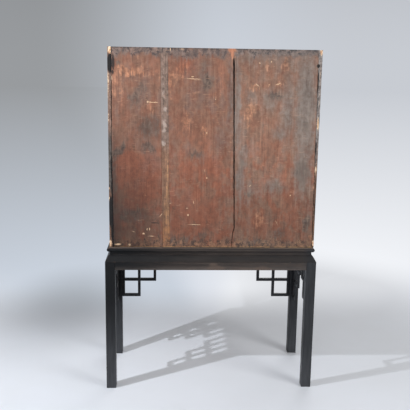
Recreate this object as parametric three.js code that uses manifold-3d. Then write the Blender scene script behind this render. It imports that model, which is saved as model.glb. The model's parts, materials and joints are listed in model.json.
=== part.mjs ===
// Lacquered two-door cabinet on an ebonised stand, with drawers behind the doors.
// Millimetres, +Z up. The doors face -Y and the plain back faces +Y.
// At rest both doors stand open at a right angle and every drawer is shut.
import * as THREE from 'three';
import { mergeVertices } from 'three/addons/utils/BufferGeometryUtils.js';
import Module from 'manifold-3d';

const wasm = await Module();
wasm.setup();

// Driving sizes of the cabinet body
const cabinetWidth = 924;
const cabinetHeight = 877;
const closedDepth = 396;
const sideThickness = 18;
const topThickness = 16;
const bottomThickness = 16;
const backThickness = 12;

// Rear edges of the sides that show beside the back boards
const rearLipRightTop = 15;
const rearLipRightFoot = 12;
const rearLipLeftTop = 17;
const rearLipLeftFoot = 8;

// Back boards: places across the back, measured from the cabinet's middle
const stripOuterTop = 236;
const stripOuterFoot = 224;
const stripInnerTop = 205;
const stripInnerFoot = 191;
const splitTop = 78;
const splitLow = 97;
const splitBend = 91.5;
const splitFoot = 87;
const splitWidth = 5.5;
const splitWidthFoot = 2.5;
const splitJogHeight = 67;
const splitJogRise = 25;
const edgeOpeningTop = 3;
const edgeOpeningMiddle = 1.5;
const edgeOpeningFoot = 8.5;

// Driving sizes of the stand: the body is flush with its seat at the right and laps it at the left
const seatLap = 8;
const standOverhang = 20;
const legHeight = 608;
const legSection = 44;
const legEase = 2;
const railHeight = 37;
const railThickness = 30;
const railEase = 1.5;

// Moulded top frame of the stand
const shoulderHeight = 31;
const neckHeight = 12;
const neckInset = 0.5;
const beadHeight = 22;
const beadReach = 12;
const bearingWidth = 40;
const shoulderOutShare = 0.3;
const shoulderHeightShare = 0.94;

// Stepped fret brackets under the rails
const fretSteps = 3;
const fretBar = 13.5;
const fretDrop = 83;
const fretPitchFront = 80.3;
const sideFretGap = 40;

// Shelves, dividers and rows of drawers, from the cabinet's floor upward
const shelfThickness = 14;
const dividerThickness = 12;
const longRowHeight = 218;
const middleRowHeight = 180;
const smallRowHeight = 150;

// Drawers
const drawerFrontThickness = 16;
const drawerWall = 9;
const drawerBottom = 7;
const drawerSideGap = 1;
const drawerTopGap = 2;
const drawerBackGap = 3;

// Turned drawer knobs
const knobLength = 20;
const roseRadius = 9;
const roseThickness = 2;
const knobNeckRadius = 3.5;
const knobHeadRadius = 8;
const knobClearance = 6;
const knobSpread = 440;

// Doors
const doorThickness = 20;
const doorGap = 1;
const doorFootGap = 2.5;
const doorTopGap = 1;
const lapWidth = 8;
const lapGap = 1.5;
const doorRestAngle = Math.PI / 2;

// Hinges
const knuckleRadius = 5.5;
const knuckleStandoff = 0.5;
const pinRadius = 2.5;
const pinHeadRadius = 4;
const pinHeadHeight = 3;
const hingeHeight = 72;
const hingeInset = 125;
const middleKnuckle = 30;
const leafThickness = 1.5;
const leafLength = 60;

// Lock on the right door
const lockPlateRadius = 34;
const keyholeRadius = 2.7;
const keyholeSlot = 2.6;
const keyholeDrop = 9;
const lockFromEdge = 3;
const lockCaseWidth = 56;
const lockCaseHeight = 48;
const lockCaseDepth = 13;
const lockBoltThickness = 5;
const lockBoltHeight = 16;
const lockBoltLength = 44;

// Sliding bolts inside the left door
const boltRadius = 3.5;
const boltLength = 100;
const boltTravel = 12;
const boltFromLap = 25;
const boltThumbRadius = 2.5;
const boltThumbReach = 4;
const boltThumbDrop = 62;
const boltHousingWidth = 18;
const boltHousingDepth = 18;
const boltHousingLength = 112;
const boltHousingGap = 2;
const socketClearance = 0.8;

// Clearances and counts shared by every piece
const jointGap = 0.3;
const overrun = 5;
const curveSteps = 6;
const cornerSteps = 2;
const knobSteps = 4;
const roundSides = 12;

// Sizes worked out from the driving sizes
const halfWidth = cabinetWidth / 2;
const seatWidth = cabinetWidth - seatLap;
const standWidth = seatWidth + 2 * standOverhang;
const standDepth = closedDepth + 2 * standOverhang;
const beadFoot = shoulderHeight + neckHeight;
const mouldingHeight = beadFoot + beadHeight;
const mouldingFoot = legHeight + jointGap;
const carcaseFoot = mouldingFoot + mouldingHeight + jointGap;
const carcaseTop = carcaseFoot + cabinetHeight;
const carcaseBack = closedDepth / 2;
const carcaseFront = -closedDepth / 2 + doorThickness + doorGap;
const backInside = carcaseBack - backThickness - jointGap;
const insideHalf = halfWidth - sideThickness - jointGap;
const floorLevel = carcaseFoot + bottomThickness;
const ceilingLevel = carcaseTop - topThickness;
const frontSetback = knobLength + knobClearance;
const shelfFront = carcaseFront + frontSetback;
const doorFoot = carcaseFoot + doorFootGap;
const doorHeight = cabinetHeight - doorFootGap - doorTopGap;
const doorBackFace = -doorGap / 2;
const doorFrontFace = doorBackFace - doorThickness;
const hingeReach = knuckleRadius + knuckleStandoff;
const hingeX = halfWidth + hingeReach;
const hingeY = carcaseFront - doorGap / 2;
const doorReach = hingeX + lapWidth / 2 - lapGap / 2;
const middleDepth = (standDepth / 2 + hingeY - doorReach) / 2;

// Finishes
const ebonised = finish(0x1c1e20, 0.42, 0);
const blackLacquer = finish(0x17130f, 0.3, 0);
const stainedBoard = finish(0x6f4130, 0.65, 0);
const paleStrip = finish(0x8f7358, 0.75, 0);
const redLacquer = finish(0x6b1f16, 0.4, 0);
const agedBrass = finish(0xa88245, 0.38, 1);

function finish(color, roughness, metalness) {
  return new THREE.MeshStandardMaterial({ color, roughness, metalness });
}

// Solids that can be joined and cut
function toSolid(geometry) {
  const bare = geometry.clone();
  bare.deleteAttribute('normal');
  bare.deleteAttribute('uv');
  const merged = mergeVertices(bare);
  return new wasm.Manifold(new wasm.Mesh({
    numProp: 3,
    vertProperties: merged.attributes.position.array,
    triVerts: Uint32Array.from(merged.index.array),
  }));
}

function toGeometry(solid) {
  const mesh = solid.getMesh();
  const geometry = new THREE.BufferGeometry();
  geometry.setAttribute('position', new THREE.BufferAttribute(mesh.vertProperties, 3));
  geometry.setIndex(new THREE.BufferAttribute(mesh.triVerts, 1));
  const faceted = geometry.toNonIndexed();
  faceted.computeVertexNormals();
  return faceted;
}

// A straight-sided block between two levels along each axis
function block(x, y, z) {
  const geometry = new THREE.BoxGeometry(x[1] - x[0], y[1] - y[0], z[1] - z[0]);
  return geometry.translate((x[0] + x[1]) / 2, (y[0] + y[1]) / 2, (z[0] + z[1]) / 2);
}

function outlineShape(points) {
  return new THREE.Shape(points.map(([x, y]) => new THREE.Vector2(x, y)));
}

// An outline in plan raised along +Z
function prism(points, height) {
  return new THREE.ExtrudeGeometry(outlineShape(points), { depth: height, bevelEnabled: false });
}

// An outline in front view, given thickness toward -Y
function plate(shape, thickness) {
  const geometry = new THREE.ExtrudeGeometry(shape, {
    depth: thickness,
    bevelEnabled: false,
    curveSegments: curveSteps,
  });
  return geometry.rotateX(Math.PI / 2);
}

// A bar along +Z whose four long edges are eased by small rounds
function easedBar(width, depth, length, ease) {
  const right = width / 2;
  const back = depth / 2;
  const shape = new THREE.Shape();
  shape.moveTo(ease - right, -back);
  shape.absarc(right - ease, ease - back, ease, -Math.PI / 2, 0);
  shape.absarc(right - ease, back - ease, ease, 0, Math.PI / 2);
  shape.absarc(ease - right, back - ease, ease, Math.PI / 2, Math.PI);
  shape.absarc(ease - right, ease - back, ease, Math.PI, Math.PI * 3 / 2);
  return new THREE.ExtrudeGeometry(shape, {
    depth: length,
    bevelEnabled: false,
    curveSegments: cornerSteps,
  });
}

// A round rod along Z between two levels
function rod(radius, low, high) {
  const geometry = new THREE.CylinderGeometry(radius, radius, high - low, roundSides);
  geometry.rotateX(Math.PI / 2);
  return geometry.translate(0, 0, (low + high) / 2);
}

// A round rod along Y between two depths
function crossRod(radius, near, far) {
  const geometry = new THREE.CylinderGeometry(radius, radius, far - near, roundSides);
  return geometry.translate(0, (near + far) / 2, 0);
}

function addPiece(parent, name, geometry, material, place = [0, 0, 0], turn = 0) {
  const mesh = new THREE.Mesh(geometry, material);
  mesh.name = name;
  mesh.position.set(...place);
  mesh.rotation.z = turn;
  parent.add(mesh);
  return mesh;
}

// The whole object, with the middle of its ground area under the origin
const cabinetOnStand = new THREE.Group();
const assembly = new THREE.Group();
assembly.position.y = -middleDepth;
cabinetOnStand.add(assembly);

// Stand, a little to the right of the body's middle
const standOffset = seatLap / 2;
const stand = new THREE.Group();
stand.position.x = standOffset;
assembly.add(stand);

// Stand: legs
const legInX = standWidth / 2 - legSection / 2;
const legInY = standDepth / 2 - legSection / 2;
for (const [side, x] of [['left', -legInX], ['right', legInX]]) {
  for (const [end, y] of [['front', -legInY], ['back', legInY]]) {
    const leg = easedBar(legSection, legSection, legHeight, legEase);
    addPiece(stand, `leg_${end}_${side}`, leg, ebonised, [x, y, 0]);
  }
}

// Stand: rails let in between the legs, flush with their outer faces
function addRail(name, span, outward, turn) {
  const length = span - 2 * legSection - 2 * jointGap;
  const rail = easedBar(railHeight, railThickness, length, railEase);
  rail.rotateY(Math.PI / 2);
  rail.translate(-length / 2, railThickness / 2 - outward, legHeight - railHeight / 2);
  addPiece(stand, name, rail, ebonised, [0, 0, 0], turn);
}

addRail('rail_front', standWidth, standDepth / 2, 0);
addRail('rail_right', standDepth, standWidth / 2, Math.PI / 2);
addRail('rail_back', standWidth, standDepth / 2, Math.PI);
addRail('rail_left', standDepth, standWidth / 2, -Math.PI / 2);

// Stand: section of the moulded top frame, outward from the seat's edge and upward
function mouldingSection() {
  const shape = new THREE.Shape();
  shape.moveTo(standOverhang, 0);
  shape.quadraticCurveTo(
    standOverhang * shoulderOutShare,
    shoulderHeight * shoulderHeightShare,
    -neckInset,
    shoulderHeight,
  );
  shape.lineTo(-neckInset, beadFoot);
  shape.lineTo(0, beadFoot);
  const beadMiddle = beadFoot + beadHeight / 2;
  shape.absellipse(0, beadMiddle, beadReach, beadHeight / 2, -Math.PI / 2, Math.PI / 2);
  shape.lineTo(-bearingWidth, mouldingHeight);
  shape.lineTo(-bearingWidth, 0);
  return shape;
}

// One side of the top frame along X in front of the middle, mitred at both ends
function addMoulding(name, halfLength, halfDistance, turn) {
  const strip = new THREE.ExtrudeGeometry(mouldingSection(), {
    depth: 1,
    bevelEnabled: false,
    curveSegments: curveSteps,
  });
  const place = strip.attributes.position;
  for (let i = 0; i < place.count; i += 1) {
    const out = place.getX(i);
    const along = 1 - 2 * place.getZ(i);
    place.setXYZ(i, along * (halfLength + out - jointGap), -halfDistance - out, place.getY(i));
  }
  addPiece(stand, name, strip, ebonised, [0, 0, mouldingFoot], turn);
}

addMoulding('moulding_front', seatWidth / 2, closedDepth / 2, 0);
addMoulding('moulding_right', closedDepth / 2, seatWidth / 2, Math.PI / 2);
addMoulding('moulding_back', seatWidth / 2, closedDepth / 2, Math.PI);
addMoulding('moulding_left', closedDepth / 2, seatWidth / 2, -Math.PI / 2);

// Stand: a stepped bracket of square cells, from the corner of leg and rail along +X and down
function fretBracket(pitch) {
  const thick = [-fretBar / 2, fretBar / 2];
  let bracket = null;
  for (let line = 0; line <= fretSteps; line += 1) {
    const cells = fretSteps - Math.max(line - 1, 0);
    const reach = cells * pitch + fretBar;
    const drop = cells * fretDrop + fretBar;
    const level = -line * fretDrop;
    const place = line * pitch;
    const across = toSolid(block([0, reach], thick, [level - fretBar, level]));
    const upright = toSolid(block([place, place + fretBar], thick, [-drop, 0]));
    const pair = across.add(upright);
    bracket = bracket ? bracket.add(pair) : pair;
  }
  return toGeometry(bracket);
}

const insideLegX = standWidth / 2 - legSection - jointGap;
const insideLegY = standDepth / 2 - legSection - jointGap;
const underRail = legHeight - railHeight - jointGap;
const fretPitchSide = (insideLegY - sideFretGap / 2 - fretBar) / fretSteps;
for (const [side, sign] of [['left', -1], ['right', 1]]) {
  const across = sign < 0 ? 0 : Math.PI;
  const front = fretBracket(fretPitchFront);
  const corner = [sign * insideLegX, -legInY, underRail];
  addPiece(stand, `fret_front_${side}`, front, ebonised, corner, across);
  for (const [end, turn] of [['front', 1], ['back', -1]]) {
    const bracket = fretBracket(fretPitchSide);
    const seat = [sign * legInX, -turn * insideLegY, underRail];
    addPiece(stand, `fret_${side}_${end}`, bracket, ebonised, seat, turn * Math.PI / 2);
  }
}

// Body: sides, each with a lip beside the back boards that is wider at the top than at the foot
function addSide(name, sign, lipTop, lipFoot) {
  const outer = sign * halfWidth;
  const inner = sign * (halfWidth - sideThickness);
  const board = prism([
    [outer, carcaseFront],
    [inner, carcaseFront],
    [inner, backInside],
    [outer, backInside],
  ], cabinetHeight);
  const lip = plate(outlineShape([
    [outer, 0],
    [outer - sign * lipFoot, 0],
    [outer - sign * lipTop, cabinetHeight],
    [outer, cabinetHeight],
  ]), backThickness + jointGap + overrun);
  const side = toSolid(board).add(toSolid(lip.translate(0, carcaseBack, 0)));
  addPiece(assembly, name, toGeometry(side), blackLacquer, [0, 0, carcaseFoot]);
}

addSide('side_right', 1, rearLipRightTop, rearLipRightFoot);
addSide('side_left', -1, rearLipLeftTop, rearLipLeftFoot);

// Body: top and bottom boards between the sides, each with the socket of a door bolt
const boltX = -lapWidth / 2 - boltFromLap;
const boltY = carcaseFront - doorGap + boltHousingDepth / 2;
const socketDepth = boltTravel - boltHousingGap + socketClearance;

function addLevelBoard(name, low, high, socketLow, socketHigh, material) {
  const span = [-insideHalf, insideHalf];
  const board = toSolid(block(span, [carcaseFront, backInside], [low, high]));
  const socket = rod(boltRadius + socketClearance, socketLow, socketHigh);
  const cut = board.subtract(toSolid(socket.translate(boltX, boltY, 0)));
  addPiece(assembly, name, toGeometry(cut), material);
}

addLevelBoard('top_board', ceilingLevel, carcaseTop,
  ceilingLevel - overrun, ceilingLevel + socketDepth, blackLacquer);
addLevelBoard('bottom_board', carcaseFoot, floorLevel,
  floorLevel - socketDepth, floorLevel + overrun, redLacquer);

// Body: upright back boards, seen from behind with the cabinet's left at the viewer's right
function addBackBoard(name, points, material) {
  const board = plate(outlineShape(points), backThickness);
  addPiece(assembly, name, board, material, [0, carcaseBack, carcaseFoot]);
}

const rearLipRightMiddle = (rearLipRightTop + rearLipRightFoot) / 2;
const splitJogTop = splitJogHeight + splitJogRise;
addBackBoard('back_board_right', [
  [stripOuterFoot + jointGap, 0],
  [halfWidth - rearLipRightFoot - edgeOpeningFoot, 0],
  [halfWidth - rearLipRightMiddle - edgeOpeningMiddle, cabinetHeight / 2],
  [halfWidth - rearLipRightTop - edgeOpeningTop, cabinetHeight],
  [stripOuterTop + jointGap, cabinetHeight],
], stainedBoard);
addBackBoard('back_joint_strip', [
  [stripInnerFoot, 0],
  [stripOuterFoot, 0],
  [stripOuterTop, cabinetHeight],
  [stripInnerTop, cabinetHeight],
], paleStrip);

// One edge of the open split, from the foot up: nearly straight, a jog, then leaning to the top
function splitEdge(sign) {
  return [
    [-splitFoot + sign * splitWidthFoot / 2, 0],
    [-splitBend + sign * splitWidthFoot / 2, splitJogHeight],
    [-splitLow + sign * splitWidth / 2, splitJogTop],
    [-splitTop + sign * splitWidth / 2, cabinetHeight],
  ];
}

addBackBoard('back_board_middle', [
  [stripInnerTop - jointGap, cabinetHeight],
  [stripInnerFoot - jointGap, 0],
  ...splitEdge(1),
], stainedBoard);
addBackBoard('back_board_left', [
  [-halfWidth + rearLipLeftTop + jointGap, cabinetHeight],
  [-halfWidth + rearLipLeftFoot + jointGap, 0],
  ...splitEdge(-1),
], stainedBoard);

// Inside: shelves over each row of drawers
const longRowFloor = floorLevel;
const middleRowFloor = longRowFloor + longRowHeight + shelfThickness;
const smallRowFloor = middleRowFloor + middleRowHeight + shelfThickness;
const insideSpan = [-insideHalf, insideHalf];
const insideDepth = [shelfFront, backInside];
const shelves = [
  ['shelf_lower', middleRowFloor],
  ['shelf_middle', smallRowFloor],
  ['shelf_upper', smallRowFloor + smallRowHeight + shelfThickness],
];
for (const [name, upperFace] of shelves) {
  const shelf = block(insideSpan, insideDepth, [upperFace - shelfThickness, upperFace]);
  addPiece(assembly, name, shelf, redLacquer);
}

// Inside: a row of equal bays with dividers between them
function rowBays(count) {
  const bay = (2 * insideHalf - (count - 1) * dividerThickness) / count;
  const bays = [];
  for (let i = 0; i < count; i += 1) {
    const left = -insideHalf + i * (bay + dividerThickness);
    bays.push([left, left + bay]);
  }
  return bays;
}

function addDividers(names, bays, floor, height) {
  names.forEach((name, i) => {
    const across = [bays[i][1], bays[i + 1][0]];
    const divider = block(across, insideDepth, [floor + jointGap, floor + height - jointGap]);
    addPiece(assembly, name, divider, redLacquer);
  });
}

const smallBays = rowBays(3);
const middleBays = rowBays(2);
const longBays = rowBays(1);
addDividers(['divider_small_left', 'divider_small_right'], smallBays, smallRowFloor, smallRowHeight);
addDividers(['divider_middle'], middleBays, middleRowFloor, middleRowHeight);

// Drawers: an open box behind a thicker front
const drawerLength = backInside - drawerBackGap - shelfFront;

function drawerBox(width, height) {
  const half = width / 2;
  const inner = half - drawerWall;
  const box = toSolid(block([-half, half], [0, drawerLength], [0, height]));
  const hollow = toSolid(block(
    [-inner, inner],
    [drawerFrontThickness, drawerLength - drawerWall],
    [drawerBottom, height + overrun],
  ));
  return toGeometry(box.subtract(hollow));
}

// Drawers: turned knob pointing to -Y from its rose
function knobGeometry() {
  const headMiddle = knobLength - knobHeadRadius;
  const profile = new THREE.Path();
  profile.moveTo(0, 0);
  profile.lineTo(roseRadius, 0);
  profile.lineTo(roseRadius, roseThickness);
  profile.lineTo(knobNeckRadius, roseThickness + knobNeckRadius / 2);
  profile.lineTo(knobNeckRadius, headMiddle - knobHeadRadius / 2);
  profile.quadraticCurveTo(
    knobHeadRadius,
    headMiddle - knobHeadRadius / 2,
    knobHeadRadius,
    headMiddle,
  );
  profile.quadraticCurveTo(knobHeadRadius, knobLength, 0, knobLength);
  const knob = new THREE.LatheGeometry(profile.getPoints(knobSteps), roundSides);
  return knob.rotateX(Math.PI);
}

function addDrawer(name, bay, floor, height, knobPlaces) {
  const width = bay[1] - bay[0] - 2 * drawerSideGap;
  const tall = height - drawerTopGap - jointGap;
  const drawer = new THREE.Group();
  drawer.position.set((bay[0] + bay[1]) / 2, shelfFront, floor + jointGap);
  assembly.add(drawer);
  addPiece(drawer, name, drawerBox(width, tall), redLacquer);
  for (const [suffix, x] of knobPlaces) {
    addPiece(drawer, `knob_${suffix}`, knobGeometry(), agedBrass, [x, -jointGap, tall / 2]);
  }
}

const smallNames = ['small_left', 'small_middle', 'small_right'];
smallNames.forEach((name, i) => {
  addDrawer(`drawer_${name}`, smallBays[i], smallRowFloor, smallRowHeight, [[name, 0]]);
});
const middleNames = ['middle_left', 'middle_right'];
middleNames.forEach((name, i) => {
  addDrawer(`drawer_${name}`, middleBays[i], middleRowFloor, middleRowHeight, [[name, 0]]);
});
addDrawer('drawer_long', longBays[0], longRowFloor, longRowHeight, [
  ['long_left', -knobSpread / 2],
  ['long_right', knobSpread / 2],
]);

// Doors: each is modelled shut in a group at its hinge axis, and the group stands open
function doorGroup(sign) {
  const group = new THREE.Group();
  group.position.set(sign * hingeX, hingeY, doorFoot);
  group.rotation.z = sign * doorRestAngle;
  assembly.add(group);
  return group;
}

const doorRight = doorGroup(1);
const doorLeft = doorGroup(-1);
const lapFace = (doorBackFace + doorFrontFace) / 2;

// Doors: keyhole running through along Y, with its drop below the round
function keyholeCutter(near, far) {
  const round = toSolid(crossRod(keyholeRadius, near, far));
  const slotHalf = keyholeSlot / 2;
  const slot = toSolid(block([-slotHalf, slotHalf], [near, far], [-keyholeDrop, 0]));
  return round.add(slot);
}

// Doors: right door, whose outer half laps over the left door
const lockLevel = doorHeight / 2;
const rightLapOuter = -lapWidth / 2 + lapGap / 2 - hingeX;
const rightLapInner = lapWidth / 2 + lapGap / 2 - hingeX;
const lockCaseEdge = rightLapInner + lockFromEdge;
const keyX = lockCaseEdge + lockCaseWidth / 2;
const rightPanel = prism([
  [-hingeReach, doorBackFace],
  [-hingeReach, doorFrontFace],
  [rightLapOuter, doorFrontFace],
  [rightLapOuter, lapFace],
  [rightLapInner, lapFace],
  [rightLapInner, doorBackFace],
], doorHeight);
const doorKeyhole = keyholeCutter(doorFrontFace - overrun, doorBackFace + overrun);
const rightDoorSolid = toSolid(rightPanel).subtract(doorKeyhole.translate(keyX, 0, lockLevel));
addPiece(doorRight, 'door_right', toGeometry(rightDoorSolid), blackLacquer);

// Doors: left door, with a housing for a sliding bolt near the top and near the foot
const leftLapOuter = -lapWidth / 2 - lapGap / 2 + hingeX;
const leftLapInner = lapWidth / 2 - lapGap / 2 + hingeX;
const leftPanel = prism([
  [hingeReach, doorBackFace],
  [hingeReach, doorFrontFace],
  [leftLapOuter, doorFrontFace],
  [leftLapOuter, lapFace + lapGap],
  [leftLapInner, lapFace + lapGap],
  [leftLapInner, doorBackFace],
], doorHeight);

// Bolts: housing and bolt are drawn for the top end, from the housing's open end downward
const boltBore = boltRadius + jointGap;
const thumbSlot = boltThumbRadius + jointGap;

function boltHousing() {
  const half = boltHousingWidth / 2;
  const middle = boltHousingDepth / 2;
  const body = toSolid(block([-half, half], [-middle - overrun, middle], [-boltHousingLength, 0]));
  const bore = toSolid(rod(boltBore, -boltLength - jointGap, overrun));
  const slotFoot = -boltThumbDrop - thumbSlot;
  const slotTop = -boltThumbDrop + boltTravel + thumbSlot;
  const slot = toSolid(block([-thumbSlot, thumbSlot], [0, middle + overrun], [slotFoot, slotTop]));
  return body.subtract(bore).subtract(slot);
}

function boltSolid() {
  const shaft = toSolid(rod(boltRadius, -boltLength, 0));
  const thumb = toSolid(crossRod(boltThumbRadius, 0, boltHousingDepth / 2 + boltThumbReach));
  return shaft.add(thumb.translate(0, 0, -boltThumbDrop));
}

const boltInDoor = [boltX + hingeX, boltY - hingeY];
const upperSeat = ceilingLevel - boltHousingGap - doorFoot;
const lowerSeat = floorLevel + boltHousingGap - doorFoot;
const upsideDown = [0, 180, 0];
const upperHousing = boltHousing().translate(...boltInDoor, upperSeat);
const lowerHousing = boltHousing().rotate(...upsideDown).translate(...boltInDoor, lowerSeat);
const leftDoorSolid = toSolid(leftPanel).add(upperHousing).add(lowerHousing);
addPiece(doorLeft, 'door_left', toGeometry(leftDoorSolid), blackLacquer);
const upperBolt = boltSolid().translate(...boltInDoor, upperSeat);
const lowerBolt = boltSolid().rotate(...upsideDown).translate(...boltInDoor, lowerSeat);
addPiece(doorLeft, 'door_bolt_upper', toGeometry(upperBolt), agedBrass);
addPiece(doorLeft, 'door_bolt_lower', toGeometry(lowerBolt), agedBrass);

// Lock: round plate outside, case and sliding bolt inside the right door
const lockPlate = toSolid(crossRod(lockPlateRadius, -leafThickness, 0));
const plateKeyhole = keyholeCutter(-leafThickness - overrun, overrun);
const plateSeat = [keyX, doorFrontFace - jointGap, lockLevel];
addPiece(doorRight, 'lock_plate', toGeometry(lockPlate.subtract(plateKeyhole)), agedBrass, plateSeat);

const boltHalf = lockBoltHeight / 2;
const caseHalf = lockCaseHeight / 2;
const lockBoltNear = (lockCaseDepth - lockBoltThickness) / 2;
const lockBoltFar = lockBoltNear + lockBoltThickness;
const lockCaseBody = toSolid(block([0, lockCaseWidth], [0, lockCaseDepth], [-caseHalf, caseHalf]));
const lockChannel = toSolid(block(
  [-overrun, lockBoltLength + jointGap],
  [lockBoltNear - jointGap, lockBoltFar + jointGap],
  [-boltHalf - jointGap, boltHalf + jointGap],
));
const caseKeyhole = keyholeCutter(-overrun, lockBoltNear).translate(lockCaseWidth / 2, 0, 0);
const lockCase = lockCaseBody.subtract(lockChannel).subtract(caseKeyhole);
const caseSeat = [lockCaseEdge, doorBackFace + jointGap, lockLevel];
addPiece(doorRight, 'lock_case', toGeometry(lockCase), agedBrass, caseSeat);
const lockBolt = block([0, lockBoltLength], [lockBoltNear, lockBoltFar], [-boltHalf, boltHalf]);
addPiece(doorRight, 'lock_bolt', lockBolt, agedBrass, caseSeat);

// Hinges: heights on the knuckle column, from the hinge's foot
const outerKnuckle = (hingeHeight - middleKnuckle) / 2;
const middleLow = outerKnuckle;
const middleHigh = outerKnuckle + middleKnuckle;
const knuckleClear = knuckleRadius + jointGap;

function barrel(radius, low, high) {
  return toSolid(rod(radius, low, high));
}

// Hinges: leaf on the cabinet's side, with the two outer knuckles
function caseLeaf(sign) {
  const near = -sign * (hingeReach - jointGap);
  const far = -sign * (hingeReach - jointGap - leafThickness);
  const across = [Math.min(near, far), Math.max(near, far)];
  const leaf = toSolid(block(across, [jointGap, leafLength], [0, hingeHeight]));
  const clear = barrel(knuckleClear, middleLow - jointGap, middleHigh + jointGap);
  const lower = barrel(knuckleRadius, 0, middleLow - jointGap);
  const upper = barrel(knuckleRadius, middleHigh + jointGap, hingeHeight);
  const bore = barrel(pinRadius + jointGap, -overrun, hingeHeight + overrun);
  return leaf.subtract(clear).add(lower).add(upper).subtract(bore);
}

// Hinges: leaf round the door's edge and face, with the middle knuckle and the fixed pin
function doorLeaf(sign) {
  const skin = hingeReach - jointGap - leafThickness;
  const edge = hingeReach - jointGap;
  const faceInner = doorFrontFace - jointGap;
  const faceOuter = faceInner - leafThickness;
  const outline = [
    [-sign * skin, -jointGap],
    [-sign * edge, -jointGap],
    [-sign * edge, faceInner],
    [-sign * (hingeReach + leafLength), faceInner],
    [-sign * (hingeReach + leafLength), faceOuter],
    [-sign * skin, faceOuter],
  ];
  const leaf = toSolid(prism(outline, hingeHeight));
  const lowerClear = barrel(knuckleClear, -overrun, middleLow);
  const upperClear = barrel(knuckleClear, middleHigh, hingeHeight + overrun);
  const knuckle = barrel(knuckleRadius, middleLow, middleHigh);
  const headFoot = hingeHeight + jointGap;
  const pin = barrel(pinRadius, -jointGap - pinHeadHeight, headFoot + pinHeadHeight);
  const lowerHead = barrel(pinHeadRadius, -jointGap - pinHeadHeight, -jointGap);
  const upperHead = barrel(pinHeadRadius, headFoot, headFoot + pinHeadHeight);
  const cut = leaf.subtract(lowerClear).subtract(upperClear);
  return cut.add(knuckle).add(pin).add(lowerHead).add(upperHead);
}

const hingeFeet = [
  ['lower', hingeInset - hingeHeight / 2],
  ['upper', doorHeight - hingeInset - hingeHeight / 2],
];
for (const [side, sign, door] of [['left', -1, doorLeft], ['right', 1, doorRight]]) {
  for (const [level, foot] of hingeFeet) {
    const name = `hinge_${side}_${level}`;
    const seat = [sign * hingeX, hingeY, doorFoot + foot];
    addPiece(assembly, `${name}_case_leaf`, toGeometry(caseLeaf(sign)), agedBrass, seat);
    addPiece(door, `${name}_door_leaf`, toGeometry(doorLeaf(sign)), agedBrass, [0, 0, foot]);
  }
}

export default cabinetOnStand;
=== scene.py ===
import json
import math
import random
from itertools import product
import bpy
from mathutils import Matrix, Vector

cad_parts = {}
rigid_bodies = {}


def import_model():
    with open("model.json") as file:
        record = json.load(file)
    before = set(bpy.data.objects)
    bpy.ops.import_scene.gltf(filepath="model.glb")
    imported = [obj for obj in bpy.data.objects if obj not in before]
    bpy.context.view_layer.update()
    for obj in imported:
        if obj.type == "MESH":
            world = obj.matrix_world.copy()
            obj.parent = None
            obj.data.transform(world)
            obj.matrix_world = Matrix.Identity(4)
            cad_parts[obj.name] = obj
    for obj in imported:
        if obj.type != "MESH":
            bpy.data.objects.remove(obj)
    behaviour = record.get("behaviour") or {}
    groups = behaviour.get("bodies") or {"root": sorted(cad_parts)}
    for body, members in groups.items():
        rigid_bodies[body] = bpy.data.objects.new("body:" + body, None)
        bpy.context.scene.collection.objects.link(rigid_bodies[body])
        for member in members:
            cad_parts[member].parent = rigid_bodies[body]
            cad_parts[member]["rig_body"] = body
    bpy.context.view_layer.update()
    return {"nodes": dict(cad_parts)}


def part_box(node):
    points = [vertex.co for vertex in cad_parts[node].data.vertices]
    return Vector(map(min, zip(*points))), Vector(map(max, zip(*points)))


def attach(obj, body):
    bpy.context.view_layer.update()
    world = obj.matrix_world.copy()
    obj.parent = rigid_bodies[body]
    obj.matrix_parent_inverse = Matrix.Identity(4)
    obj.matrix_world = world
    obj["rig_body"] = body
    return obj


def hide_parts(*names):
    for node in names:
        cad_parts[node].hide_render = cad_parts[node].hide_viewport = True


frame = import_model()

from types import SimpleNamespace

import bmesh
import bpy
from mathutils import Matrix, Vector, noise

NODES = frame["nodes"]

# Sizes in metres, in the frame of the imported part: the back faces +Y and +X is the photograph's left
MM = 0.001
BACK_INSIDE, BACK_FACE = [corner.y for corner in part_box("back_board_left")]
FOOT, TOP = [corner.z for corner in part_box("side_right")]
SIDE_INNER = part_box("side_right")[0].x
SHELF_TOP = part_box("shelf_upper")[1].z
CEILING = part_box("top_board")[0].z
DRAWER_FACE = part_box("drawer_long")[0].y

# Camera, fitted to the photograph: place in metres, turns in radians, lens in millimetres
CAMERA_PLACE = Vector((0.1745, 3.3396, 1.44725))
CAMERA_YAW = 0.0473
CAMERA_PITCH = 0.1952
CAMERA_ROLL = 0.0155
CAMERA_LENS = 58.71
VIEW_DEPTH = 200

# Stage: a wide floor that passes into the backdrop's colour, and a painted shadow beside the object
FLOOR_COLOUR = (0.70, 0.73, 0.79, 1)
FLOOR_RADIUS = 60
CAMERA_AWAY = 3.34
NEAR_REACH = 5.2
HORIZON_NEAR = NEAR_REACH / (FLOOR_RADIUS + CAMERA_AWAY)
PAINTED_SHADOW_PLACE = (0.83, -0.76, 0)
PAINTED_SHADOW_REACH = (0.42, 0.74, 1)
WARM_WHITE = (1.0, 0.985, 0.955)
SKY_POWER = 0.28

# Each lamp: name, place, aim, width, power and colour
LAMPS = (
    ("key", (1.682, 1.161, 1.728), (0.004, 0.252, 0.7), 0.05, 33, (0.96, 0.98, 1.0)),
    ("fill_back", (0.1, 3.3, 3.1), (0, 0.2, 1.1), 1.6, 26, WARM_WHITE),
    ("fill_right", (-2.3, 2.2, 2.1), (0, 0.2, 0.8), 1.5, 44, WARM_WHITE),
    ("fill_front", (-1.6, -4.2, 3.0), (0, 0.2, 0.9), 3.4, 80, (1.0, 0.98, 0.95)),
)


def placed(name, data):
    """A new object in the scene."""
    item = bpy.data.objects.new(name, data)
    bpy.context.scene.collection.objects.link(item)
    return item


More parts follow.
